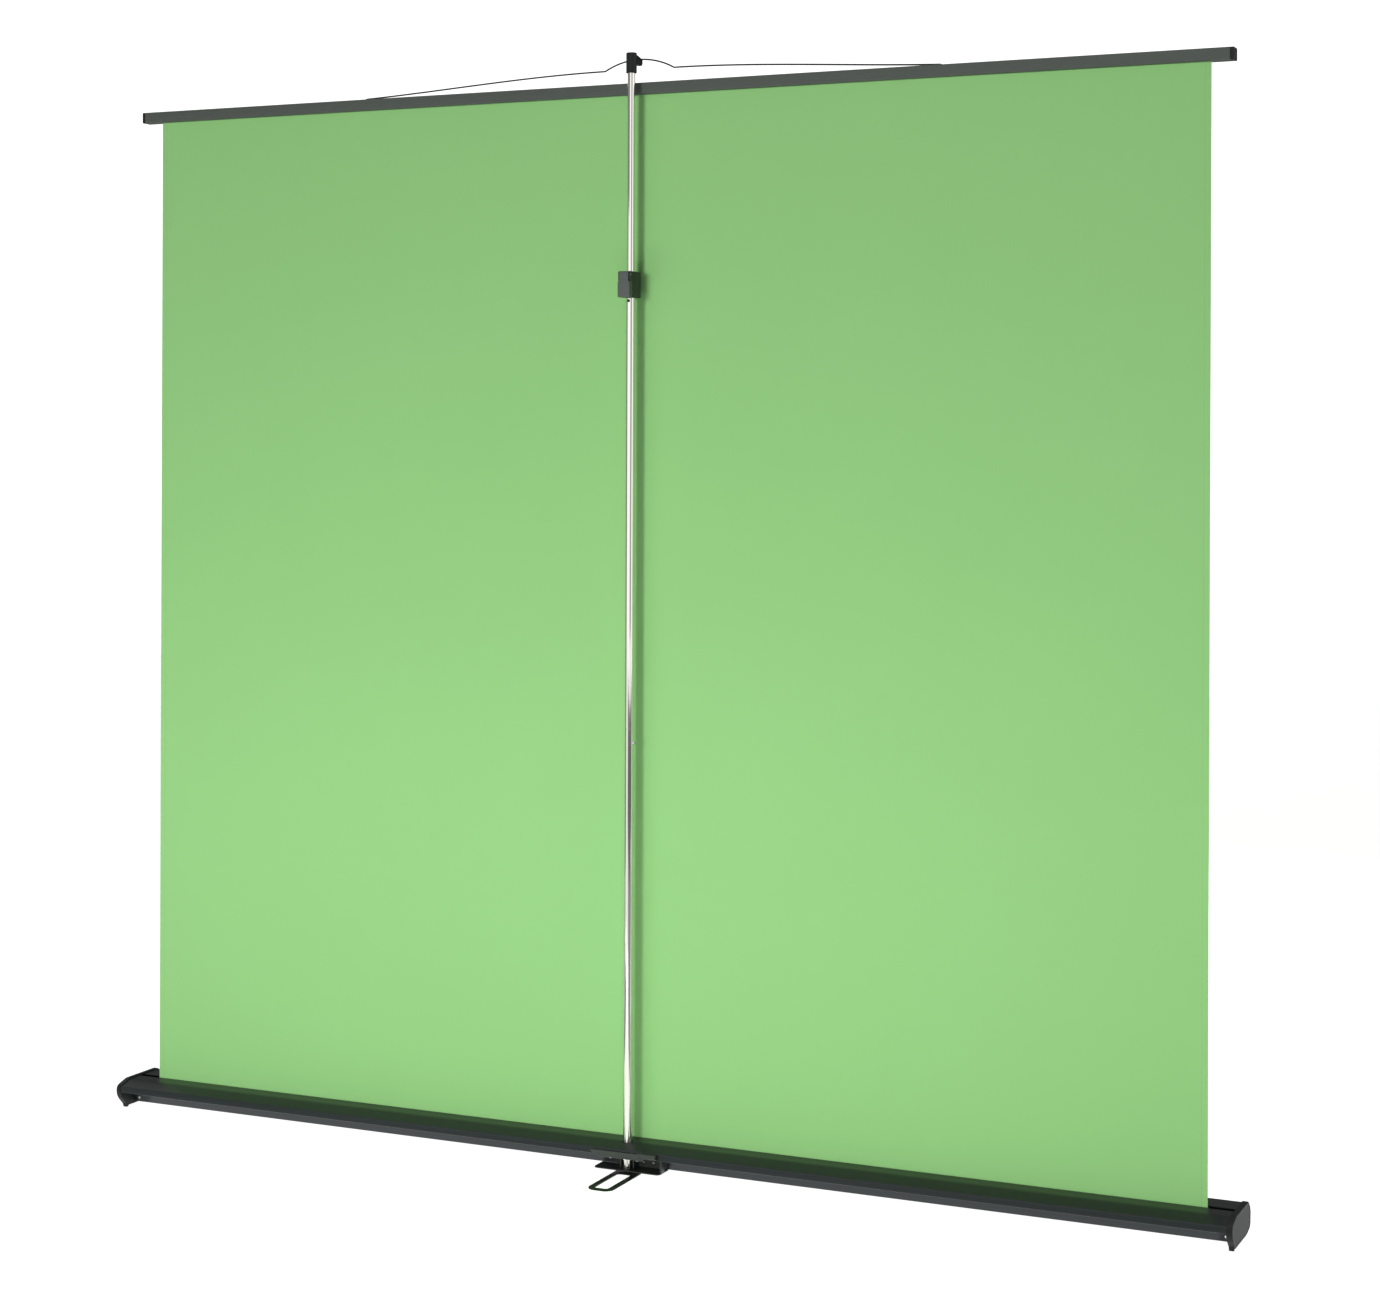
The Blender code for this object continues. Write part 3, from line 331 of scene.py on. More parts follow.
def shape_with(obj, operation, bm):
    """Cuts a shape out of a piece, or joins it on, for good."""
    mesh = bpy.data.meshes.new("shape")
    bm.to_mesh(mesh)
    bm.free()
    other = bpy.data.objects.new("shape", mesh)
    scene.collection.objects.link(other)
    boolean = obj.modifiers.new(operation, "BOOLEAN")
    boolean.operation = operation
    boolean.solver = "EXACT"
    boolean.object = other
    shaped = obj.evaluated_get(bpy.context.evaluated_depsgraph_get())
    obj.data = bpy.data.meshes.new_from_object(shaped)
    obj.modifiers.clear()
    bpy.data.objects.remove(other)
    obj.data.shade_smooth()
    obj.data.set_sharp_from_angle(angle=smooth_below)


def fit(obj, body, slot, *replaced):
    """Hangs a piece on its body, in place of its plain solids."""
    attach(obj, body)
    if replaced:
        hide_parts(*replaced)


def node_group(name, inputs, outputs):
    """An empty group with its inputs as {name: default} and its outputs as names."""
    group = bpy.data.node_groups.new(name, "ShaderNodeTree")
    for label, value in inputs.items():
        socket = group.interface.new_socket(label, in_out="INPUT", socket_type="NodeSocketFloat")
        socket.default_value = value
    for label in outputs:
        group.interface.new_socket(label, in_out="OUTPUT", socket_type="NodeSocketFloat")
    return group, group.nodes.new("NodeGroupInput"), group.nodes.new("NodeGroupOutput")


def arithmetic(tree, operation, *values):
    """A Math node fed with sockets or numbers."""
    node = tree.nodes.new("ShaderNodeMath")
    node.operation = operation
    for slot_in, value in zip(node.inputs, values):
        if isinstance(value, (int, float)):
            slot_in.default_value = value
        else:
            link(tree, value, slot_in)
    return node.outputs[0]


def stretched_noise(tree, scale, stretch, detail=2.0):
    """Noise on the piece's own coordinates, drawn out by (x, y, z) factors; scale is a number or socket."""
    place = tree.nodes.new("ShaderNodeTexCoord")
    drawn = tree.nodes.new("ShaderNodeMapping")
    drawn.inputs["Scale"].default_value = stretch
    noise = tree.nodes.new("ShaderNodeTexNoise")
    noise.inputs["Detail"].default_value = detail
    link(tree, place.outputs["Object"], drawn.inputs["Vector"])
    link(tree, drawn.outputs["Vector"], noise.inputs["Vector"])
    if isinstance(scale, (int, float)):
        noise.inputs["Scale"].default_value = scale
    else:
        link(tree, scale, noise.inputs["Scale"])
    return noise.outputs["Fac"]


# Lines that the die leaves along an extrusion: finer across than along
die_lines, given, result = node_group("die_lines", {"Scale": 400.0, "Depth": 1.0}, ["Height", "Tone"])
lines = stretched_noise(die_lines, given.outputs["Scale"], (0.004, 1.0, 1.0), 3.0)
link(die_lines, arithmetic(die_lines, "MULTIPLY", lines, given.outputs["Depth"]), result.inputs["Height"])
link(die_lines, lines, result.inputs["Tone"])

# Grain of moulded, painted and blasted surfaces
fine_grain, given, result = node_group("fine_grain", {"Scale": 900.0, "Depth": 1.0}, ["Height", "Tone"])
grain = stretched_noise(fine_grain, given.outputs["Scale"], (1.0, 1.0, 1.0), 3.0)
clouds = stretched_noise(fine_grain, 9.0, (1.0, 1.0, 1.0), 3.0)
link(fine_grain, arithmetic(fine_grain, "MULTIPLY", grain, given.outputs["Depth"]), result.inputs["Height"])
link(fine_grain, clouds, result.inputs["Tone"])

# Worn edges and painted highlight: a mask where a rounded normal parts from the true one, broken up by noise;
# the edges it lightens are partly rubbed wear, partly a painted highlight
worn_and_highlit_edges, given, result = node_group("worn_and_highlit_edges", {"Width": 0.0006, "Amount": 0.5}, ["Mask"])
smoothed = worn_and_highlit_edges.nodes.new("ShaderNodeBevel")
smoothed.samples = 4
link(worn_and_highlit_edges, given.outputs["Width"], smoothed.inputs["Radius"])
surface = worn_and_highlit_edges.nodes.new("ShaderNodeNewGeometry")
agreement = worn_and_highlit_edges.nodes.new("ShaderNodeVectorMath")
agreement.operation = "DOT_PRODUCT"
link(worn_and_highlit_edges, smoothed.outputs["Normal"], agreement.inputs[0])
link(worn_and_highlit_edges, surface.outputs["Normal"], agreement.inputs[1])
parted = arithmetic(worn_and_highlit_edges, "SUBTRACT", 1.0, agreement.outputs["Value"])
broken = stretched_noise(worn_and_highlit_edges, 160.0, (1.0, 1.0, 1.0), 2.0)
mask = arithmetic(worn_and_highlit_edges, "MULTIPLY", arithmetic(worn_and_highlit_edges, "MULTIPLY", parted, broken), 6.0)
kept = arithmetic(worn_and_highlit_edges, "MULTIPLY", mask, given.outputs["Amount"])
link(worn_and_highlit_edges, arithmetic(worn_and_highlit_edges, "MINIMUM", kept, 1.0), result.inputs["Mask"])

# Dust that settles on upward faces
settled_dust, given, result = node_group("settled_dust", {"Amount": 0.1}, ["Mask"])
surface = settled_dust.nodes.new("ShaderNodeNewGeometry")
facing = settled_dust.nodes.new("ShaderNodeSeparateXYZ")
link(settled_dust, surface.outputs["Normal"], facing.inputs[0])
upward = arithmetic(settled_dust, "MAXIMUM", facing.outputs["Z"], 0.0)
specks = stretched_noise(settled_dust, 70.0, (1.0, 1.0, 1.0), 4.0)
dusty = arithmetic(settled_dust, "MULTIPLY", arithmetic(settled_dust, "MULTIPLY", upward, specks),
                   given.outputs["Amount"])
link(settled_dust, dusty, result.inputs["Mask"])


def use_group(tree, group, **values):
    """A shared effect, placed in a material with its own values."""
    node = tree.nodes.new("ShaderNodeGroup")
    node.node_tree = group
    for label, value in values.items():
        node.inputs[label].default_value = value
    return node


def mixed(tree, factor, first, second):
    """A colour between two: each is (red, green, blue) or a socket."""
    mix = tree.nodes.new("ShaderNodeMix")
    mix.data_type = "RGBA"
    link(tree, factor, mix.inputs["Factor"])
    for slot_in, value in ((mix.inputs["A"], first), (mix.inputs["B"], second)):
        if isinstance(value, tuple):
            slot_in.default_value = (*value, 1)
        else:
            link(tree, value, slot_in)
    return mix.outputs["Result"]


def between(tree, value, low, high):
    """Spreads a 0 to 1 value over low to high."""
    spread = tree.nodes.new("ShaderNodeMapRange")
    spread.inputs["To Min"].default_value = low
    spread.inputs["To Max"].default_value = high
    link(tree, value, spread.inputs["Value"])
    return spread.outputs["Result"]


def relief(tree, height, distance, strength):
    """Bumps the surface by a height."""
    bump = tree.nodes.new("ShaderNodeBump")
    bump.inputs["Distance"].default_value = distance
    bump.inputs["Strength"].default_value = strength
    link(tree, height, bump.inputs["Height"])
    return bump.outputs["Normal"]


# Edges are lightened towards this many times the pale tone: partly rubbed wear, partly a painted highlight.
edge_wear_and_highlight_gain = 2.6
dust_tone = (0.30, 0.29, 0.27)


def hard_finish(name, group, scale, deep, pale, roughness, bump, metallic=0.0, shine=0.5, edges=0.0,
                dust=0.0):
    """Metal, paint or plastic: tone and roughness from a group's pattern, edges lightened by wear and a
    painted highlight, settled dust.
    deep and pale are the colours that it varies between; roughness is (low, high)."""
    made = bpy.data.materials.new(name)
    made.use_nodes = True
    tree = made.node_tree
    shader = tree.nodes["Principled BSDF"]
    shader.inputs["Metallic"].default_value = metallic
    shader.inputs["Specular IOR Level"].default_value = shine
    pattern = use_group(tree, group, Scale=scale)
    colour = mixed(tree, pattern.outputs["Tone"], deep, pale)
    # Lighter edges: partly rubbed wear, partly a painted highlight.
    if edges:
        wear_and_highlight = use_group(tree, worn_and_highlit_edges, Amount=edges)
        edge_wear_and_highlight_tone = tuple(min(channel * edge_wear_and_highlight_gain, 1) for channel in pale)
        colour = mixed(tree, wear_and_highlight.outputs["Mask"], colour, edge_wear_and_highlight_tone)
    if dust:
        dusty = use_group(tree, settled_dust, Amount=dust)
        colour = mixed(tree, dusty.outputs["Mask"], colour, dust_tone)
    link(tree, colour, shader.inputs["Base Color"])
    link(tree, between(tree, pattern.outputs["Tone"], *roughness), shader.inputs["Roughness"])
    link(tree, relief(tree, pattern.outputs["Height"], 0.0001, bump), shader.inputs["Normal"])
    return made


# Full-strength lighter edges on the casing: partly rubbed wear, partly a painted highlight on the ridge's
# rounded top.
anodised = hard_finish("dark_anodised", die_lines, scale=420.0, deep=(0.016, 0.0195, 0.0205),
                       pale=(0.023, 0.0275, 0.029), roughness=(0.28, 0.38), bump=0.25, shine=0.20,
                       edges=1.0, dust=0.02)
bm = strip("X", from_sheet(casing_corners), -casing_half, casing_half, casing_wall, casing_steps)
casing = made_of("casing", bm, anodised)
hole = [(0, mast_hole_low), (mast_hole, mast_hole_low), (mast_hole, mast_hole_high), (0, mast_hole_high)]
shape_with(casing, "DIFFERENCE", lathed("Z", hole, (0, mast_y, 0)))
fit(casing, "base", "casing", "casing_extrusion")


def dress(finish, *names):
    """Gives plain solids that are already the right shape their finish."""
    for name in names:
        slots = nodes[name].data.materials
        slots.clear()
        slots.append(finish)


# Slot seals
# Two strips of short grey felt glued under the lips of the slot from end to end. They wipe the sheet as it
# runs in and out.
felt = hard_finish("grey_felt", fine_grain, scale=2600.0, deep=(0.030, 0.031, 0.030),
                   pale=(0.080, 0.082, 0.080), roughness=(0.92, 1.0), bump=0.9)
dress(felt, "slot_seal_front", "slot_seal_rear")

# Pads
# Three moulded buttons of black rubber pressed on under the casing's front, so that it stands level and
# doesn't slide.
rubber = hard_finish("black_rubber", fine_grain, scale=1500.0, deep=(0.012, 0.012, 0.012),
                     pale=(0.026, 0.026, 0.026), roughness=(0.75, 0.9), bump=0.6, dust=0.15)
dress(rubber, "front_pad_left", "front_pad_middle", "front_pad_right")

# End caps
# Moulded in black nylon: a lid with a rounded edge, a little larger than the extrusion all round so that it
# closes the recess too, a grained grey panel in its face, and a wedge below that takes the weight behind.
ends = ((-1, "left"), (1, "right"))
slip_gap = 0.0003
overcut = 0.002
cap_reach = 0.0100
cap_edge = 0.0026
cap_rim = 0.0009
cap_recess = 0.0004
cap_panel_round = 0.0010
wedge_inset = 0.0020
cap_corners = [
    (-0.034, 0.0528, 0.0040), (0.055, 0.0528, 0.0020), (0.0698, 0.03881, 0.0080), (0.06806, 0.00926, 0.0080),
    (0.042, 0.0027, 0.0060), (-0.0410, 0.0027, 0.0030), (-0.0453, 0.00721, 0.0020),
    (-0.0593, 0.02074, 0.0060), (-0.0638, 0.03226, 0.0060), (-0.0619, 0.04428, 0.0060)]
cap_wedge = [(-0.0358, 0.0040, 0), (-0.0390, 0, 0.0006), (-0.0430, 0, 0.0006), (-0.0452, 0.0068, 0)]
moulded = hard_finish("black_moulding", fine_grain, scale=1400.0, deep=(0.006, 0.007, 0.007),
                      pale=(0.011, 0.0125, 0.012), roughness=(0.40, 0.52), bump=0.35, shine=0.25,
                      edges=0.05)
grained = hard_finish("grained_panel", fine_grain, scale=700.0, deep=(0.060, 0.067, 0.070),
                      pale=(0.084, 0.092, 0.095), roughness=(0.55, 0.70), bump=0.6, shine=0.25)


def drawn_in(corners, distance):
    """A clockwise outline of (a, b, setback) corners moved inwards by a distance."""
    inner = []
    for i, (a, b, setback) in enumerate(corners):
        here = Vector((a, b))
        first = (here - Vector(corners[i - 1][:2])).normalized()
        second = (Vector(corners[(i + 1) % len(corners)][:2]) - here).normalized()
        shift = (first + second) * distance / (1 + first.dot(second))
        inner.append((a + shift.y, b - shift.x, max(setback - distance, cap_panel_round)))
    return inner


for side, word in ends:
    start = side * (casing_half + slip_gap)
    end = start + side * cap_reach
    bm = solid("X", from_sheet(cap_corners), start, end)
    rim = [edge for edge in bm.edges if all(abs(v.co.x - end) < touching for v in edge.verts)]
    bmesh.ops.bevel(bm, geom=rim, offset=cap_edge, offset_type="OFFSET", affect="EDGES", segments=5,
                    profile=0.5, material=-1, clamp_overlap=True)
    lid = made_of(f"cap_{word}", bm, moulded)
    wedge = solid("X", from_sheet(cap_wedge), start, end - side * wedge_inset)
    shape_with(lid, "UNION", soften(wedge, 0.0004))
    panel = from_sheet(drawn_in(cap_corners, cap_edge + cap_rim))
    panel_x = end - side * cap_recess
    shape_with(lid, "DIFFERENCE", solid("X", panel, panel_x, end + side * overcut))
    lid.data.materials.append(grained)
    for face in lid.data.polygons:
        if all(abs(lid.data.vertices[i].co.x - panel_x) < touching for i in face.vertices):
            face.material_index = 1
    fit(lid, "base", "cap_plastic", f"end_cap_{word}")

# Small screws
# Zinc-plated pan heads with a cross recess. One holds each end cap, two hold the mast's bracket against
# the recess's wall and two hang its cover under the recess's roof.
recess_lean = math.atan2(recess_foot - recess_wall, recess_roof - casing_bottom)
roof_climb = math.atan2(ridge_under - recess_roof, recess_wall - ridge_foot)
off_wall = Vector((0, -math.cos(recess_lean), -math.sin(recess_lean)))
off_roof = Vector((0, -math.sin(roof_climb), -math.cos(roof_climb)))
screw_places = {
    "cap_screw_left": ((-1.034, sheet_y - 0.01671, 0.0140), off_wall, 0),
    "cap_screw_right": ((1.034, sheet_y - 0.01671, 0.0140), off_wall, 0),
    "bracket_screw_1": ((0.0255, sheet_y - 0.0170, 0.0150), off_wall, 0.0033),
    "bracket_screw_2": ((0.0445, sheet_y - 0.0170, 0.0150), off_wall, 0.0033),
    "cover_screw_1": ((-0.020, sheet_y - 0.0565, 0.03006), off_roof, 0.0030),
    "cover_screw_2": ((0.030, sheet_y - 0.0565, 0.03006), off_roof, 0.0030)}
screw_profile = [(0, -0.0090), (0.0009, -0.0090), (0.0015, -0.0080), (0.0015, 0.0003), (0.0028, 0.0003),
                 (0.0030, 0.0005), (0.0030, 0.0009), (0.0027, 0.0015), (0.0020, 0.0019), (0.0010, 0.0021),
                 (0, 0.0021)]
cross_arm = 0.0016
cross_width = 0.0004
cross_floor = 0.0011
cross_top = 0.0030
zinc = hard_finish("zinc_plate", fine_grain, scale=1800.0, deep=(0.44, 0.44, 0.425),
                   pale=(0.56, 0.56, 0.54), roughness=(0.24, 0.36), bump=0.2, metallic=1.0)
pattern_screw = made_of("pattern_screw", lathed("Z", screw_profile, (0, 0, 0), 32), zinc)
for long, wide in ((cross_arm, cross_width), (cross_width, cross_arm)):
    arms = [(-long, -wide, 0), (long, -wide, 0), (long, wide, 0), (-long, wide, 0)]
    shape_with(pattern_screw, "DIFFERENCE", solid("Z", arms, cross_floor, cross_top))
for name, (place, outwards, lift) in screw_places.items():
    screw = bpy.data.objects.new(name.replace("_screw", "_pan_screw"), pattern_screw.data.copy())
    scene.collection.objects.link(screw)
    turned = outwards.to_track_quat("Z", "X").to_matrix().to_4x4()
    screw.data.transform(Matrix.Translation(Vector(place) + outwards * lift) @ turned)
    fit(screw, "base", "zinc_steel", name)
bpy.data.objects.remove(pattern_screw)

# Spring roller
# Out of sight in the casing: a drawn aluminium tube on two nylon plugs. A pin carries the left one; in the
# right one a coil spring on a steel mandrel winds the sheet back in.
raw_aluminium = hard_finish("raw_aluminium", die_lines, scale=600.0, deep=(0.56, 0.57, 0.58),
                            pale=(0.68, 0.69, 0.70), roughness=(0.32, 0.46), bump=0.3, metallic=1.0)
nylon = hard_finish("cream_nylon", fine_grain, scale=1200.0, deep=(0.58, 0.56, 0.49),
                    pale=(0.70, 0.68, 0.62), roughness=(0.38, 0.50), bump=0.25)
bright_steel = hard_finish("bright_steel", fine_grain, scale=900.0, deep=(0.46, 0.46, 0.45),
                           pale=(0.58, 0.58, 0.57), roughness=(0.26, 0.38), bump=0.2, metallic=1.0)
dress(raw_aluminium, "roller_tube")
dress(nylon, "idler_plug", "drive_plug", "spring_anchor")
dress(bright_steel, "idler_pin", "spring_mandrel", "roller_spring")

# Sheet
# Warp-knitted polyester in chroma green, two metres wide, with a narrow welded hem down each side. Its top is
# held round a nylon rod in the bar. Its foot winds on the roller, where two turns stay when it is fully out.
sheet_half = 1.0
sheet_thickness = 0.0003
roller_axis_y = sheet_y + 0.0141
roller_axis_z = 0.02775
sheet_top = 1.8604
wound_inner = 0.01300
wound_outer = 0.01345
wound_turns = 2
steps_per_turn = 48
hem_width = 0.010
weld_half_width = 0.0007
knit_pitch = 0.0007

# Knitted ground: fine wales and courses, in metres of the piece's own UV map
knit, given, result = node_group("knit", {"Pitch": knit_pitch}, ["Height"])
flat_place = knit.nodes.new("ShaderNodeUVMap")
flat_place.uv_map = "cut"
parts = knit.nodes.new("ShaderNodeSeparateXYZ")
link(knit, flat_place.outputs["UV"], parts.inputs[0])
ridges = []
for label in ("X", "Y"):
    turns = arithmetic(knit, "DIVIDE", parts.outputs[label], given.outputs["Pitch"])
    wave = arithmetic(knit, "SINE", arithmetic(knit, "MULTIPLY", turns, math.pi))
    ridges.append(arithmetic(knit, "ABSOLUTE", wave))
link(knit, arithmetic(knit, "MULTIPLY", ridges[0], ridges[1]), result.inputs["Height"])

chroma = bpy.data.materials.new("chroma_green_knit")
chroma.use_nodes = True
tree = chroma.node_tree
cloth = tree.nodes["Principled BSDF"]
cloth.inputs["Roughness"].default_value = 0.60
cloth.inputs["Specular IOR Level"].default_value = 0.40
cloth.inputs["Sheen Weight"].default_value = 0.10
cloth.inputs["Sheen Roughness"].default_value = 0.5
cut_place = tree.nodes.new("ShaderNodeUVMap")
cut_place.uv_map = "cut"
across = tree.nodes.new("ShaderNodeSeparateXYZ")
link(tree, cut_place.outputs["UV"], across.inputs[0])
from_edge = arithmetic(tree, "SUBTRACT", sheet_half, arithmetic(tree, "ABSOLUTE", across.outputs["X"]))
from_weld = arithmetic(tree, "ABSOLUTE", arithmetic(tree, "SUBTRACT", from_edge, hem_width))
weld = arithmetic(tree, "LESS_THAN", from_weld, weld_half_width)
uneven = stretched_noise(tree, 3.0, (1, 1, 1), 4.0)
dye = mixed(tree, uneven, (0.255, 0.518, 0.192), (0.267, 0.535, 0.202))
dye = mixed(tree, arithmetic(tree, "MULTIPLY", weld, 0.35), dye, (0.18, 0.44, 0.14))
link(tree, dye, cloth.inputs["Base Color"])
stitch = use_group(tree, knit, Pitch=knit_pitch)
link(tree, relief(tree, stitch.outputs["Height"], 0.0001, 0.25), cloth.inputs["Normal"])

bm = bmesh.new()
bmesh.ops.create_grid(bm, x_segments=100, y_segments=92, size=1.0)
middle = (sheet_top + roller_axis_z) / 2
half_height = (sheet_top - roller_axis_z) / 2
bmesh.ops.scale(bm, vec=(sheet_half, half_height, 1), verts=bm.verts)
cut = bm.loops.layers.uv.new("cut")
for face in bm.faces:
    for loop in face.loops:
        loop[cut].uv = loop.vert.co.xy
stood_up = Matrix.Translation((0, sheet_y, middle)) @ Matrix.Rotation(math.pi / 2, 4, "X")
bmesh.ops.transform(bm, matrix=stood_up, verts=bm.verts)
hung = made_of("sheet", bm, chroma)
hung.data.shade_flat()
thicken = hung.modifiers.new("thickness", "SOLIDIFY")
thicken.thickness = sheet_thickness
thicken.offset = 0
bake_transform(hung)
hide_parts("fabric_sheet")

bm = bmesh.new()
wound_steps = wound_turns * steps_per_turn
spiral = []
for i in range(wound_steps + 1):
    radius = wound_outer + (wound_inner - wound_outer) * i / wound_steps
    angle = math.pi - 2 * math.pi * i / steps_per_turn
    spiral.append(bm.verts.new((-sheet_half, roller_axis_y + radius * math.cos(angle),
                                roller_axis_z - radius * math.sin(angle))))
lays = [bm.edges.new(pair) for pair in zip(spiral, spiral[1:])]
pushed = bmesh.ops.extrude_edge_only(bm, edges=lays)["geom"]
bmesh.ops.translate(bm, vec=(2 * sheet_half, 0, 0),
                    verts=[item for item in pushed if isinstance(item, bmesh.types.BMVert)])
cut = bm.loops.layers.uv.new("cut")
for face in bm.faces:
    for loop in face.loops:
        turn = math.atan2(loop.vert.co.z - roller_axis_z, loop.vert.co.y - roller_axis_y)
        loop[cut].uv = (loop.vert.co.x, -half_height - turn * wound_outer)
wound = made_of("sheet_on_roller", bm, chroma)
fit(wound, "roller", "green_fabric", "fabric_roll")

# Top bar
# A second extrusion, anodised like the casing but paler: a small box section open along its underside, where
# the sheet's edge slides in round a nylon rod. Moulded caps close its ends.
bar_low = 1.859
bar_high = 1.879
bar_half = 1.0315
bar_depth = 0.0125
bar_corner = 0.0016
bar_wall = 0.0014
bar_gap_half = 0.0015
bar_corners = [(-bar_gap_half, bar_low, 0), (-bar_depth, bar_low, bar_corner),
               (-bar_depth, bar_high, bar_corner), (bar_depth, bar_high, bar_corner),
               (bar_depth, bar_low, bar_corner), (bar_gap_half, bar_low, 0)]
hanger_reach = 0.5535
hanger_slot = 0.0020
hanger_slot_inside = 0.0065
hanger_slot_round = 0.0018
hanger_slot_depth = 0.0034
bar_metal = hard_finish("bar_anodised", die_lines, scale=420.0, deep=(0.064, 0.073, 0.066),
                        pale=(0.084, 0.094, 0.086), roughness=(0.42, 0.54), bump=0.25, shine=0.30,
                        edges=0.3)
bm = strip("X", from_sheet(bar_corners), -bar_half, bar_half, bar_wall, 6)
bar = made_of("bar", bm, bar_metal)
for side in (-1, 1):
    inner = side * (hanger_reach - hanger_slot_inside)
    outer = side * (hanger_reach + hanger_slot)
    slot_front = sheet_y + hanger_slot
    slot_back = sheet_y - hanger_slot
    slot = [(inner, slot_back, hanger_slot_round), (outer, slot_back, hanger_slot_round),
            (outer, slot_front, hanger_slot_round), (inner, slot_front, hanger_slot_round)]
    shape_with(bar, "DIFFERENCE", solid("Z", slot, bar_high - hanger_slot_depth, bar_high + overcut))
fit(bar, "bar_assembly", "bar", "top_bar")
bar_cap_reach = 0.0060
bar_cap_round = 0.0020
for side, word in ends:
    start = side * (bar_half + slip_gap)
    block = [(-bar_depth, bar_low, bar_cap_round), (-bar_depth, bar_high, bar_cap_round),
             (bar_depth, bar_high, bar_cap_round), (bar_depth, bar_low, bar_cap_round)]
    bm = soften(solid("X", from_sheet(block), start, start + side * bar_cap_reach), 0.0007, 3)
    fit(made_of(f"bar_end_{word}", bm, moulded), "bar_assembly", "cap_plastic", f"bar_cap_{word}")
dress(nylon, "keder_rod")
dress(bright_steel, "wire_ferrule_left", "wire_ferrule_right")

# Hanger
# One length of black-lacquered spring wire over the bar: legs bent down into the bar's top, long wings, two
# kinks and an arched middle, which the mast's hook lifts.
wire_radius = 0.0014
wire_crest = 1.9209
kink_reach = 0.066
kink_high = 1.9036
arch_radius = (kink_reach ** 2 + (wire_crest - kink_high) ** 2) / (2 * (wire_crest - kink_high))
wing_belly = 0.040
wire_bend = 0.0045
wire_leg = 0.010
arch_steps = 24
wing_steps = 40
bend_steps = 8
wire_lift = wire_radius + slip_gap
straight_end = hanger_reach - wire_bend
lacquer = hard_finish("black_lacquer", fine_grain, scale=1500.0, deep=(0.005, 0.0055, 0.005),
                      pale=(0.010, 0.011, 0.010), roughness=(0.30, 0.42), bump=0.2, shine=0.20, edges=0.1)


def hanger_height(x):
    """Height of the wire's centre line at a distance from the mast."""
    if x <= kink_reach:
        return wire_crest - arch_radius + math.sqrt(arch_radius ** 2 - x ** 2)
    run = straight_end - kink_reach
    t = (x - kink_reach) / run
    fall = (kink_high - bar_high) * (1 + 2 * t) * (1 - t) ** 2 + wire_lift * t * t * (3 - 2 * t)
    return bar_high + fall + wing_belly * run * t * t * (1 - t)


reaches = [kink_reach * i / arch_steps for i in range(arch_steps + 1)]
reaches += [kink_reach + (straight_end - kink_reach) * i / wing_steps for i in range(1, wing_steps + 1)]
right_half = [(x, hanger_height(x)) for x in reaches]
bend_centre = bar_high + wire_lift - wire_bend
for i in range(1, bend_steps + 1):
    angle = math.pi / 2 * i / bend_steps
    right_half.append((straight_end + wire_bend * math.sin(angle),
                       bend_centre + wire_bend * math.cos(angle)))
right_half.append((hanger_reach, bar_high - wire_leg))
line = bpy.data.curves.new("hanger_line", "CURVE")
line.dimensions = "3D"
line.bevel_depth = wire_radius
line.bevel_resolution = 4
line.use_fill_caps = True
spline = line.splines.new("POLY")
points = [(-x, z) for x, z in right_half[:0:-1]] + right_half
spline.points.add(len(points) - 1)
for point, (x, z) in zip(spline.points, points):
    point.co = (x, sheet_y, z, 1)
drawn = bpy.data.objects.new("hanger_line", line)
scene.collection.objects.link(drawn)
bm = bmesh.new()
bm.from_mesh(drawn.to_mesh())
bpy.data.objects.remove(drawn)
bmesh.ops.remove_doubles(bm, verts=bm.verts, dist=merging)
bmesh.ops.recalc_face_normals(bm, faces=bm.faces)
fit(made_of("hanger", bm, lacquer), "bar_assembly", "black_wire", "wire_hanger")

# Mast tubes
# Three chromed steel tubes. The two lower ones meet on an inner sleeve with a spring button; the thin upper
# one slides in them through a nylon bush and is pinned at any height by the clamp.
lower_radius = 0.0080
upper_radius = 0.0066
tube_wall = 0.0008
tube_break = 0.0002
tube_spans = {"lower_tube": ("base", lower_radius, 0.0058, 0.76185),
              "middle_tube": ("base", lower_radius, 0.76215, 1.5399),
              "upper_tube": ("upper_mast", upper_radius, 1.225, 1.925)}
chrome = hard_finish("chromed_steel", fine_grain, scale=1500.0, deep=(0.77, 0.755, 0.70),
                     pale=(0.81, 0.795, 0.745), roughness=(0.06, 0.09), bump=0.01, metallic=1.0)
for node, (body, radius, low, high) in tube_spans.items():
    bore = radius - tube_wall
    profile = [(bore, low + tube_break), (bore + tube_break, low), (radius - tube_break, low),
               (radius, low + tube_break), (radius, high - tube_break), (radius - tube_break, high),
               (bore + tube_break, high), (bore, high - tube_break)]
    tube = made_of(node.replace("tube", "mast_tube"), lathed("Z", profile, (0, mast_y, 0), 96), chrome)
    fit(tube, body, "polished_steel", node)
dress(bright_steel, "joint_sleeve", "snap_spring")
dress(moulded, "foot_plug", "glide_plug")

button_height = 0.738
button_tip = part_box("snap_button")[1].x
button_profile = [(0, -0.0072), (0.0045, -0.0072), (0.0045, -0.0060), (0.0032, -0.0060), (0.0032, -0.0020),
                  (0.0030, -0.0012), (0.0024, -0.0006), (0.0014, -0.0002), (0, 0)]
bm = lathed("X", button_profile, (button_tip, mast_y, button_height), 32)
button = made_of("joint_button", bm, bright_steel)
fit(button, "button", "zinc_steel", "snap_button")

stop_height = 1.500
stop_profile = [(0, -0.0074), (0.0013, -0.0074), (0.0013, -0.0083), (0.0026, -0.0083), (0.0025, -0.0088),
                (0.0019, -0.0093), (0.0010, -0.0095), (0, -0.0095)]
stop = made_of("clamp_stop", lathed("Y", stop_profile, (0, mast_y, stop_height), 32), lacquer)
fit(stop, "base", "black_wire", "clamp_rivet")

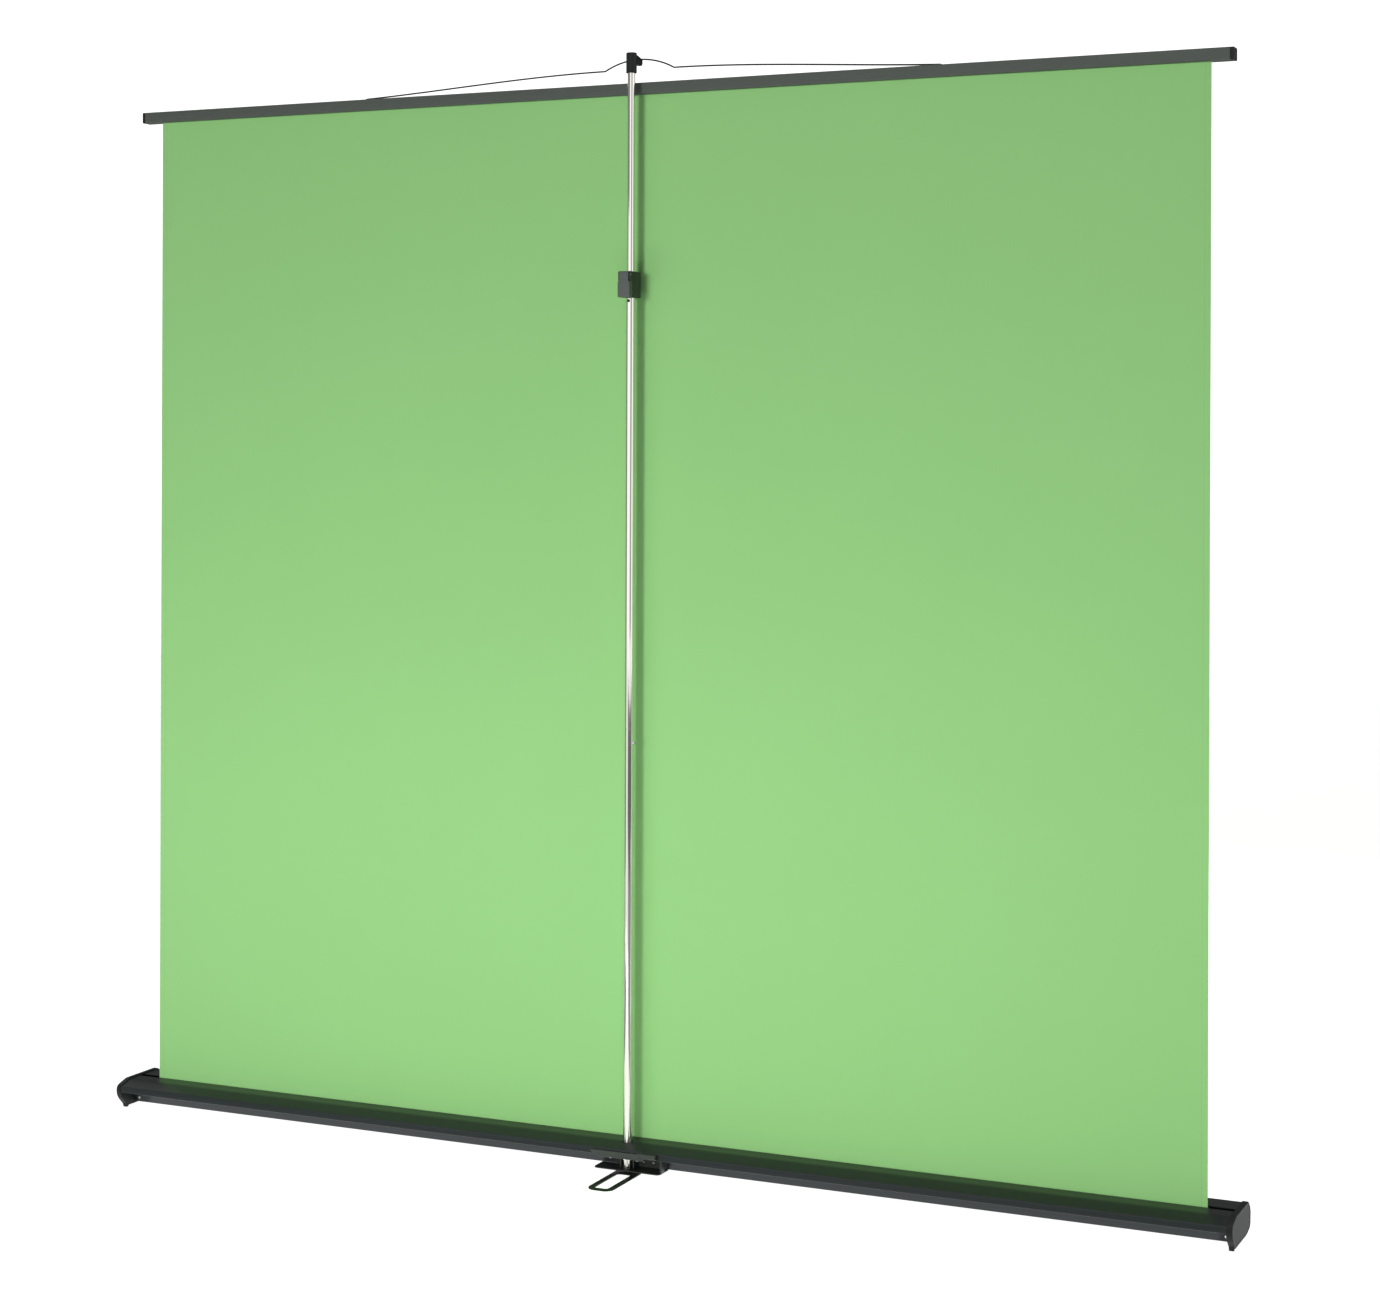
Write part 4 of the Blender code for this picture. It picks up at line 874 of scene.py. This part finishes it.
# Clamp
# A moulded block fixed on the middle tube, with two cheeks behind. Between them a flip lever turns on a
# steel pin, and its cam presses on the upper tube. A cream bush over the tube's end guides that tube.
clamp_half = 0.0114
clamp_low = 1.505
clamp_high = 1.550
clamp_front = 0.0187
clamp_split = 0.0170
cheek_wall = 0.0024
cheek_low = 1.532
pin_behind = 0.02315
pin_height = 1.54415
pin_radius = 0.0015
pin_hole_radius = 0.0018
pin_chamfer = 0.0004
lever_low = 1.505
lever_half_depth = 0.00585
clamp_black = hard_finish("clamp_moulding", fine_grain, scale=1100.0, deep=(0.018, 0.021, 0.019),
                          pale=(0.028, 0.032, 0.029), roughness=(0.36, 0.48), bump=0.45, shine=0.35,
                          edges=0.3)
# The lever is the same black plastic as the block; its lighter grey is a painted sheen on its rear face.
lever_painted_sheen = hard_finish("lever_moulding_painted_sheen", fine_grain, scale=1100.0, deep=(0.070, 0.078, 0.075),
                         pale=(0.096, 0.107, 0.102), roughness=(0.36, 0.48), bump=0.45, shine=0.35,
                         edges=0.2)
block = [(-clamp_half, mast_y - clamp_split, 0), (clamp_half, mast_y - clamp_split, 0),
         (clamp_half, mast_y + clamp_front, 0.0030), (-clamp_half, mast_y + clamp_front, 0.0030)]
clamp = made_of("clamp_block", soften(solid("Z", block, clamp_low, clamp_high), 0.0006), clamp_black)
cheek_front = mast_y - clamp_split + overcut
cheek_back = mast_y - pin_behind - 0.0035
cheek = [(cheek_front, cheek_low, 0), (cheek_front, clamp_high, 0), (cheek_back, clamp_high, 0.0030),
         (cheek_back, cheek_low, 0.0030)]
for side in (-1, 1):
    bm = solid("X", cheek, side * (clamp_half - cheek_wall), side * clamp_half)
    shape_with(clamp, "UNION", soften(bm, 0.0003))
bore_low = clamp_low - overcut
bore_step = clamp_high - 0.0015
bore_high = clamp_high + overcut
wide = lower_radius + slip_gap
narrow = upper_radius + 2 * slip_gap
bore = [(0, bore_low), (wide, bore_low), (wide, bore_step), (narrow, bore_step), (narrow, bore_high),
        (0, bore_high)]
shape_with(clamp, "DIFFERENCE", lathed("Z", bore, (0, mast_y, 0)))
hole_reach = clamp_half + overcut
pin_hole = [(0, -hole_reach), (pin_hole_radius, -hole_reach), (pin_hole_radius, hole_reach), (0, hole_reach)]
pin_place = (0, mast_y - pin_behind, pin_height)
shape_with(clamp, "DIFFERENCE", lathed("X", pin_hole, pin_place, 32))
fit(clamp, "base", "cap_plastic", "clamp_body")

lever_back = mast_y - pin_behind - lever_half_depth
lever_front = mast_y - pin_behind + lever_half_depth
lever_high = pin_height + lever_half_depth
cam = [(lever_back, lever_low, 0.0028), (lever_front, lever_low, 0.0008),
       (lever_front, lever_high, 0.0058), (lever_back, lever_high, 0.0045)]
bm = soften(solid("X", cam, -clamp_half, clamp_half, 10), 0.0007, 3)
lever = made_of("clamp_flip_lever", bm, lever_painted_sheen)
neck_back = mast_y - 0.040
neck_front = mast_y - 0.010
neck_low = cheek_low - slip_gap
neck_high = 1.556
neck = [(neck_back, neck_low, 0), (neck_front, neck_low, 0), (neck_front, neck_high, 0),
        (neck_back, neck_high, 0)]
neck_half = clamp_half - cheek_wall - slip_gap
neck_reach = 0.014
for side in (-1, 1):
    shape_with(lever, "DIFFERENCE", solid("X", neck, side * neck_half, side * neck_reach))
shape_with(lever, "DIFFERENCE", lathed("X", pin_hole, pin_place, 32))
fit(lever, "lever", "cap_plastic", "clamp_lever")
pin_face = pin_radius - pin_chamfer
pin_side = clamp_half - pin_chamfer
pin_profile = [(0, -clamp_half), (pin_face, -clamp_half), (pin_radius, -pin_side), (pin_radius, pin_side),
               (pin_face, clamp_half), (0, clamp_half)]
pin = made_of("clamp_hinge_pin", lathed("X", pin_profile, pin_place, 32), bright_steel)
fit(pin, "base", "zinc_steel", "clamp_pin")
bush_low = 1.5402
bush_high = 1.5482
bush_bore = upper_radius + slip_gap
bush_profile = [(bush_bore, bush_low), (lower_radius, bush_low), (lower_radius, bush_high),
                (bush_bore, bush_high)]
bush = made_of("clamp_bush", lathed("Z", bush_profile, (0, mast_y, 0)), nylon)
fit(bush, "base", "nylon", "guide_bush")

# Head hook
# A moulded cap pushed on the upper tube. Its short nose points at the sheet, sloping down to a seat for the
# wire and a small lip that keeps it there.
head_radius = 0.0092
head_low = 1.893
head_high = 1.928
head_round = 0.0014
head_chamfer = 0.0005
round_steps = 6
seat_floor = wire_crest - wire_lift
seat_near = mast_behind - wire_lift
seat_far = mast_behind + wire_lift
lip_high = seat_floor + 0.0032
lip_width = 0.0036
nose_half = 0.0036
nose_high = head_high - 0.0006
nose_tip = seat_far + lip_width
nose_low = lip_high - 0.0128
socket_high = 1.9253
profile = [(0, head_low), (head_radius - head_chamfer, head_low), (head_radius, head_low + head_chamfer),
           (head_radius, head_high - head_round)]
for i in range(1, round_steps + 1):
    angle = math.pi / 2 * i / round_steps
    profile.append((head_radius - head_round * (1 - math.cos(angle)),
                    head_high - head_round * (1 - math.sin(angle))))
profile.append((0, head_high))
hook = made_of("mast_hook", lathed("Z", profile, (0, mast_y, 0), 96), moulded)
nose = [(0, nose_high, 0), (0.0090, nose_high, 0.001), (seat_near, lip_high + 0.0008, 0.0006),
        (seat_near, seat_floor, 0.0012), (seat_far, seat_floor, 0.0012), (seat_far, lip_high, 0.0006),
        (nose_tip, lip_high, 0.0010), (nose_tip, nose_low + 0.0035, 0.0012),
        (nose_tip - 0.0035, nose_low, 0.0012), (0, nose_low, 0)]
nose = [(mast_y + a, b, setback) for a, b, setback in nose]
shape_with(hook, "UNION", soften(solid("X", nose, -nose_half, nose_half, 4), 0.0004))
socket_radius = upper_radius + slip_gap
socket = [(0, head_low - overcut), (socket_radius, head_low - overcut), (socket_radius, socket_high),
          (0, socket_high)]
shape_with(hook, "DIFFERENCE", lathed("Z", socket, (0, mast_y, 0)))
fit(hook, "upper_mast", "cap_plastic", "head_hook")

# Bracket
# One black moulding screwed in the casing's recess: a glossy plate with a peg that the mast stands over, a
# back wall, a rib each side of the mast and a post at the right end.
plate_low = 0.0035
plate_high = 0.0055
wall_foot = 0.0045
wall_head = 0.0227
web_wall = 0.0024
plate_left = -0.0565
plate_right = 0.0695
plate_back = -0.0525
wall_left = -0.028
rib_inner = 0.0110
rib_back = -0.035
post_front = -0.0300
post_back = -0.0445
post_width = 0.0030
bracket_gap = 0.0006


def recess_at(height):
    """How far behind the sheet's plane the bracket may come to the recess's wall at a height."""
    share = (height - casing_bottom) / (recess_roof - casing_bottom)
    return recess_foot + (recess_wall - recess_foot) * share - bracket_gap


def roof_at(y):
    """How high the bracket may rise under the recess's roof at a distance from the sheet's plane."""
    share = (recess_wall - y) / (recess_wall - ridge_foot)
    return recess_roof + (ridge_under - recess_roof) * share - bracket_gap


plate_front = recess_at(plate_high)
plate = [(plate_left, sheet_y + plate_front, 0), (plate_right, sheet_y + plate_front, 0),
         (plate_right, sheet_y + plate_back, 0.008), (plate_left, sheet_y + plate_back, 0.008)]
bracket = made_of("bracket", soften(solid("Z", plate, plate_low, plate_high, 12), 0.0006), clamp_black)
wall = [(recess_at(wall_foot), wall_foot, 0), (recess_at(wall_foot) - web_wall, wall_foot, 0),
        (recess_at(wall_head) - web_wall, wall_head, 0), (recess_at(wall_head), wall_head, 0)]
shape_with(bracket, "UNION", solid("X", from_sheet(wall), wall_left, plate_right))
peg = [(0, wall_foot), (0.0040, wall_foot), (0.0040, 0.0167), (0.0032, 0.0175), (0, 0.0175)]
shape_with(bracket, "UNION", lathed("Z", peg, (0, mast_y, 0)))
rib_knee = recess_wall - bracket_gap - web_wall
rib = [(recess_at(wall_foot) - web_wall / 2, wall_foot, 0), (rib_back, wall_foot, 0),
       (rib_back, roof_at(rib_back), 0.0015), (rib_knee, roof_at(rib_knee), 0),
       (recess_at(wall_head) - web_wall / 2, wall_head - slip_gap, 0)]
for low_x in (-rib_inner - web_wall, rib_inner):
    shape_with(bracket, "UNION", soften(solid("X", from_sheet(rib), low_x, low_x + web_wall), 0.0004))
post = [(post_front, wall_foot, 0), (post_back, wall_foot, 0), (post_back, roof_at(post_back), 0.0006),
        (post_front, roof_at(post_front), 0.0006)]
bm = solid("X", from_sheet(post), plate_right - post_width, plate_right)
shape_with(bracket, "UNION", soften(bm, 0.0004))
fit(bracket, "base", "cap_plastic", "mast_bracket")

# Bracket cover
# A wing moulded in dark grey plastic, clipped over the ridge's back and screwed up under the recess's roof.
# It tapers to a point on the left and ends on the right in a short round boss.
cover_left = -0.054
cover_right = 0.046
cover_high = 0.0395
cover_behind = 0.0665
wing = [(-0.0535, 0.0269, 0), (-0.0535, 0.0293, 0), (-0.058, 0.0297, 0), (-0.0623, 0.0309, 0),
        (-0.0639, cover_high, 0.0004), (-cover_behind, cover_high, 0.0010), (-0.0673, 0.0355, 0.0010),
        (-cover_behind, 0.0285, 0.0016), (-0.058, 0.0273, 0)]
cover_grey = hard_finish("cover_moulding", fine_grain, scale=1100.0, deep=(0.038, 0.043, 0.039),
                         pale=(0.053, 0.060, 0.055), roughness=(0.36, 0.48), bump=0.45, shine=0.25,
                         edges=0.3)
cover = made_of("cover", solid("X", from_sheet(wing), cover_left, cover_right), cover_grey)
boss = [(0, 0.034), (0.0045, 0.034), (0.0045, 0.0692), (0.0037, 0.0700), (0.0026, 0.0700), (0.0026, 0.0686),
        (0, 0.0686)]
boss_place = (0, sheet_y - 0.0668, 0.0375)
shape_with(cover, "UNION", lathed("X", boss, boss_place, 48))
taper_low = 0.0245
taper_high = cover_high - 0.003
taper = [(-0.058, taper_low, 0), (-0.032, taper_low, 0), (-0.0545, taper_high, 0), (-0.058, taper_high, 0)]
shape_with(cover, "DIFFERENCE", solid("Y", taper, sheet_y - 0.070, sheet_y - 0.050))
fit(cover, "base", "cap_plastic", "bracket_cover")

# Loop foot
# A flat steel ring, black lacquered, that swings out on a rivet under the bracket's plate so that the screen
# doesn't tip backwards. A plastic washer keeps it off the plate.
foot_x = 0.008
pivot_y = sheet_y - 0.044
foot_half = 0.0235
foot_strap = 0.0105
foot_front = sheet_y - 0.036
foot_back = sheet_y - 0.165
foot_thick = 0.0020
opening_half = foot_half - foot_strap
opening_round = 0.0055
opening_front = foot_front - 0.024
opening_back = foot_back + foot_strap
ring = [(foot_x - foot_half, foot_back, 0.016), (foot_x + foot_half, foot_back, 0.016),
        (foot_x + foot_half, foot_front, 0.010), (foot_x - foot_half, foot_front, 0.010)]
foot = made_of("swing_foot", soften(solid("Z", ring, 0, foot_thick, 12), 0.0005), lacquer)
opening_left = foot_x - opening_half
opening_right = foot_x + opening_half
opening = [(opening_left, opening_back, opening_round), (opening_right, opening_back, opening_round),
           (opening_right, opening_front, opening_round), (opening_left, opening_front, opening_round)]
cut_high = 0.005
shape_with(foot, "DIFFERENCE", solid("Z", opening, -overcut, cut_high, 12))
pivot_place = (foot_x, pivot_y, 0)
sink_radius = 0.0055
sink_floor = 0.0011
shank_hole = 0.0033
sink = [(0, -overcut), (sink_radius, -overcut), (sink_radius, sink_floor), (shank_hole, sink_floor),
        (shank_hole, cut_high), (0, cut_high)]
shape_with(foot, "DIFFERENCE", lathed("Z", sink, pivot_place, 32))
fit(foot, "foot", "black_foot", "loop_foot")
pivot_profile = [(0, 0.0003), (0.0049, 0.0003), (0.0052, 0.0005), (0.0052, 0.0008), (0.0030, 0.0008),
                 (0.0030, 0.0058), (0.0045, 0.0058), (0.0042, 0.0064), (0.0032, 0.0068), (0, 0.0068)]
pivot = made_of("foot_pivot", lathed("Z", pivot_profile, pivot_place, 32), lacquer)
fit(pivot, "base", "black_foot", "foot_rivet")
washer_profile = [(shank_hole, 0.0023), (0.0070, 0.0023), (0.0070, 0.0032), (shank_hole, 0.0032)]
washer = made_of("foot_spacer", lathed("Z", washer_profile, pivot_place, 48), moulded)
fit(washer, "base", "cap_plastic", "foot_washer")
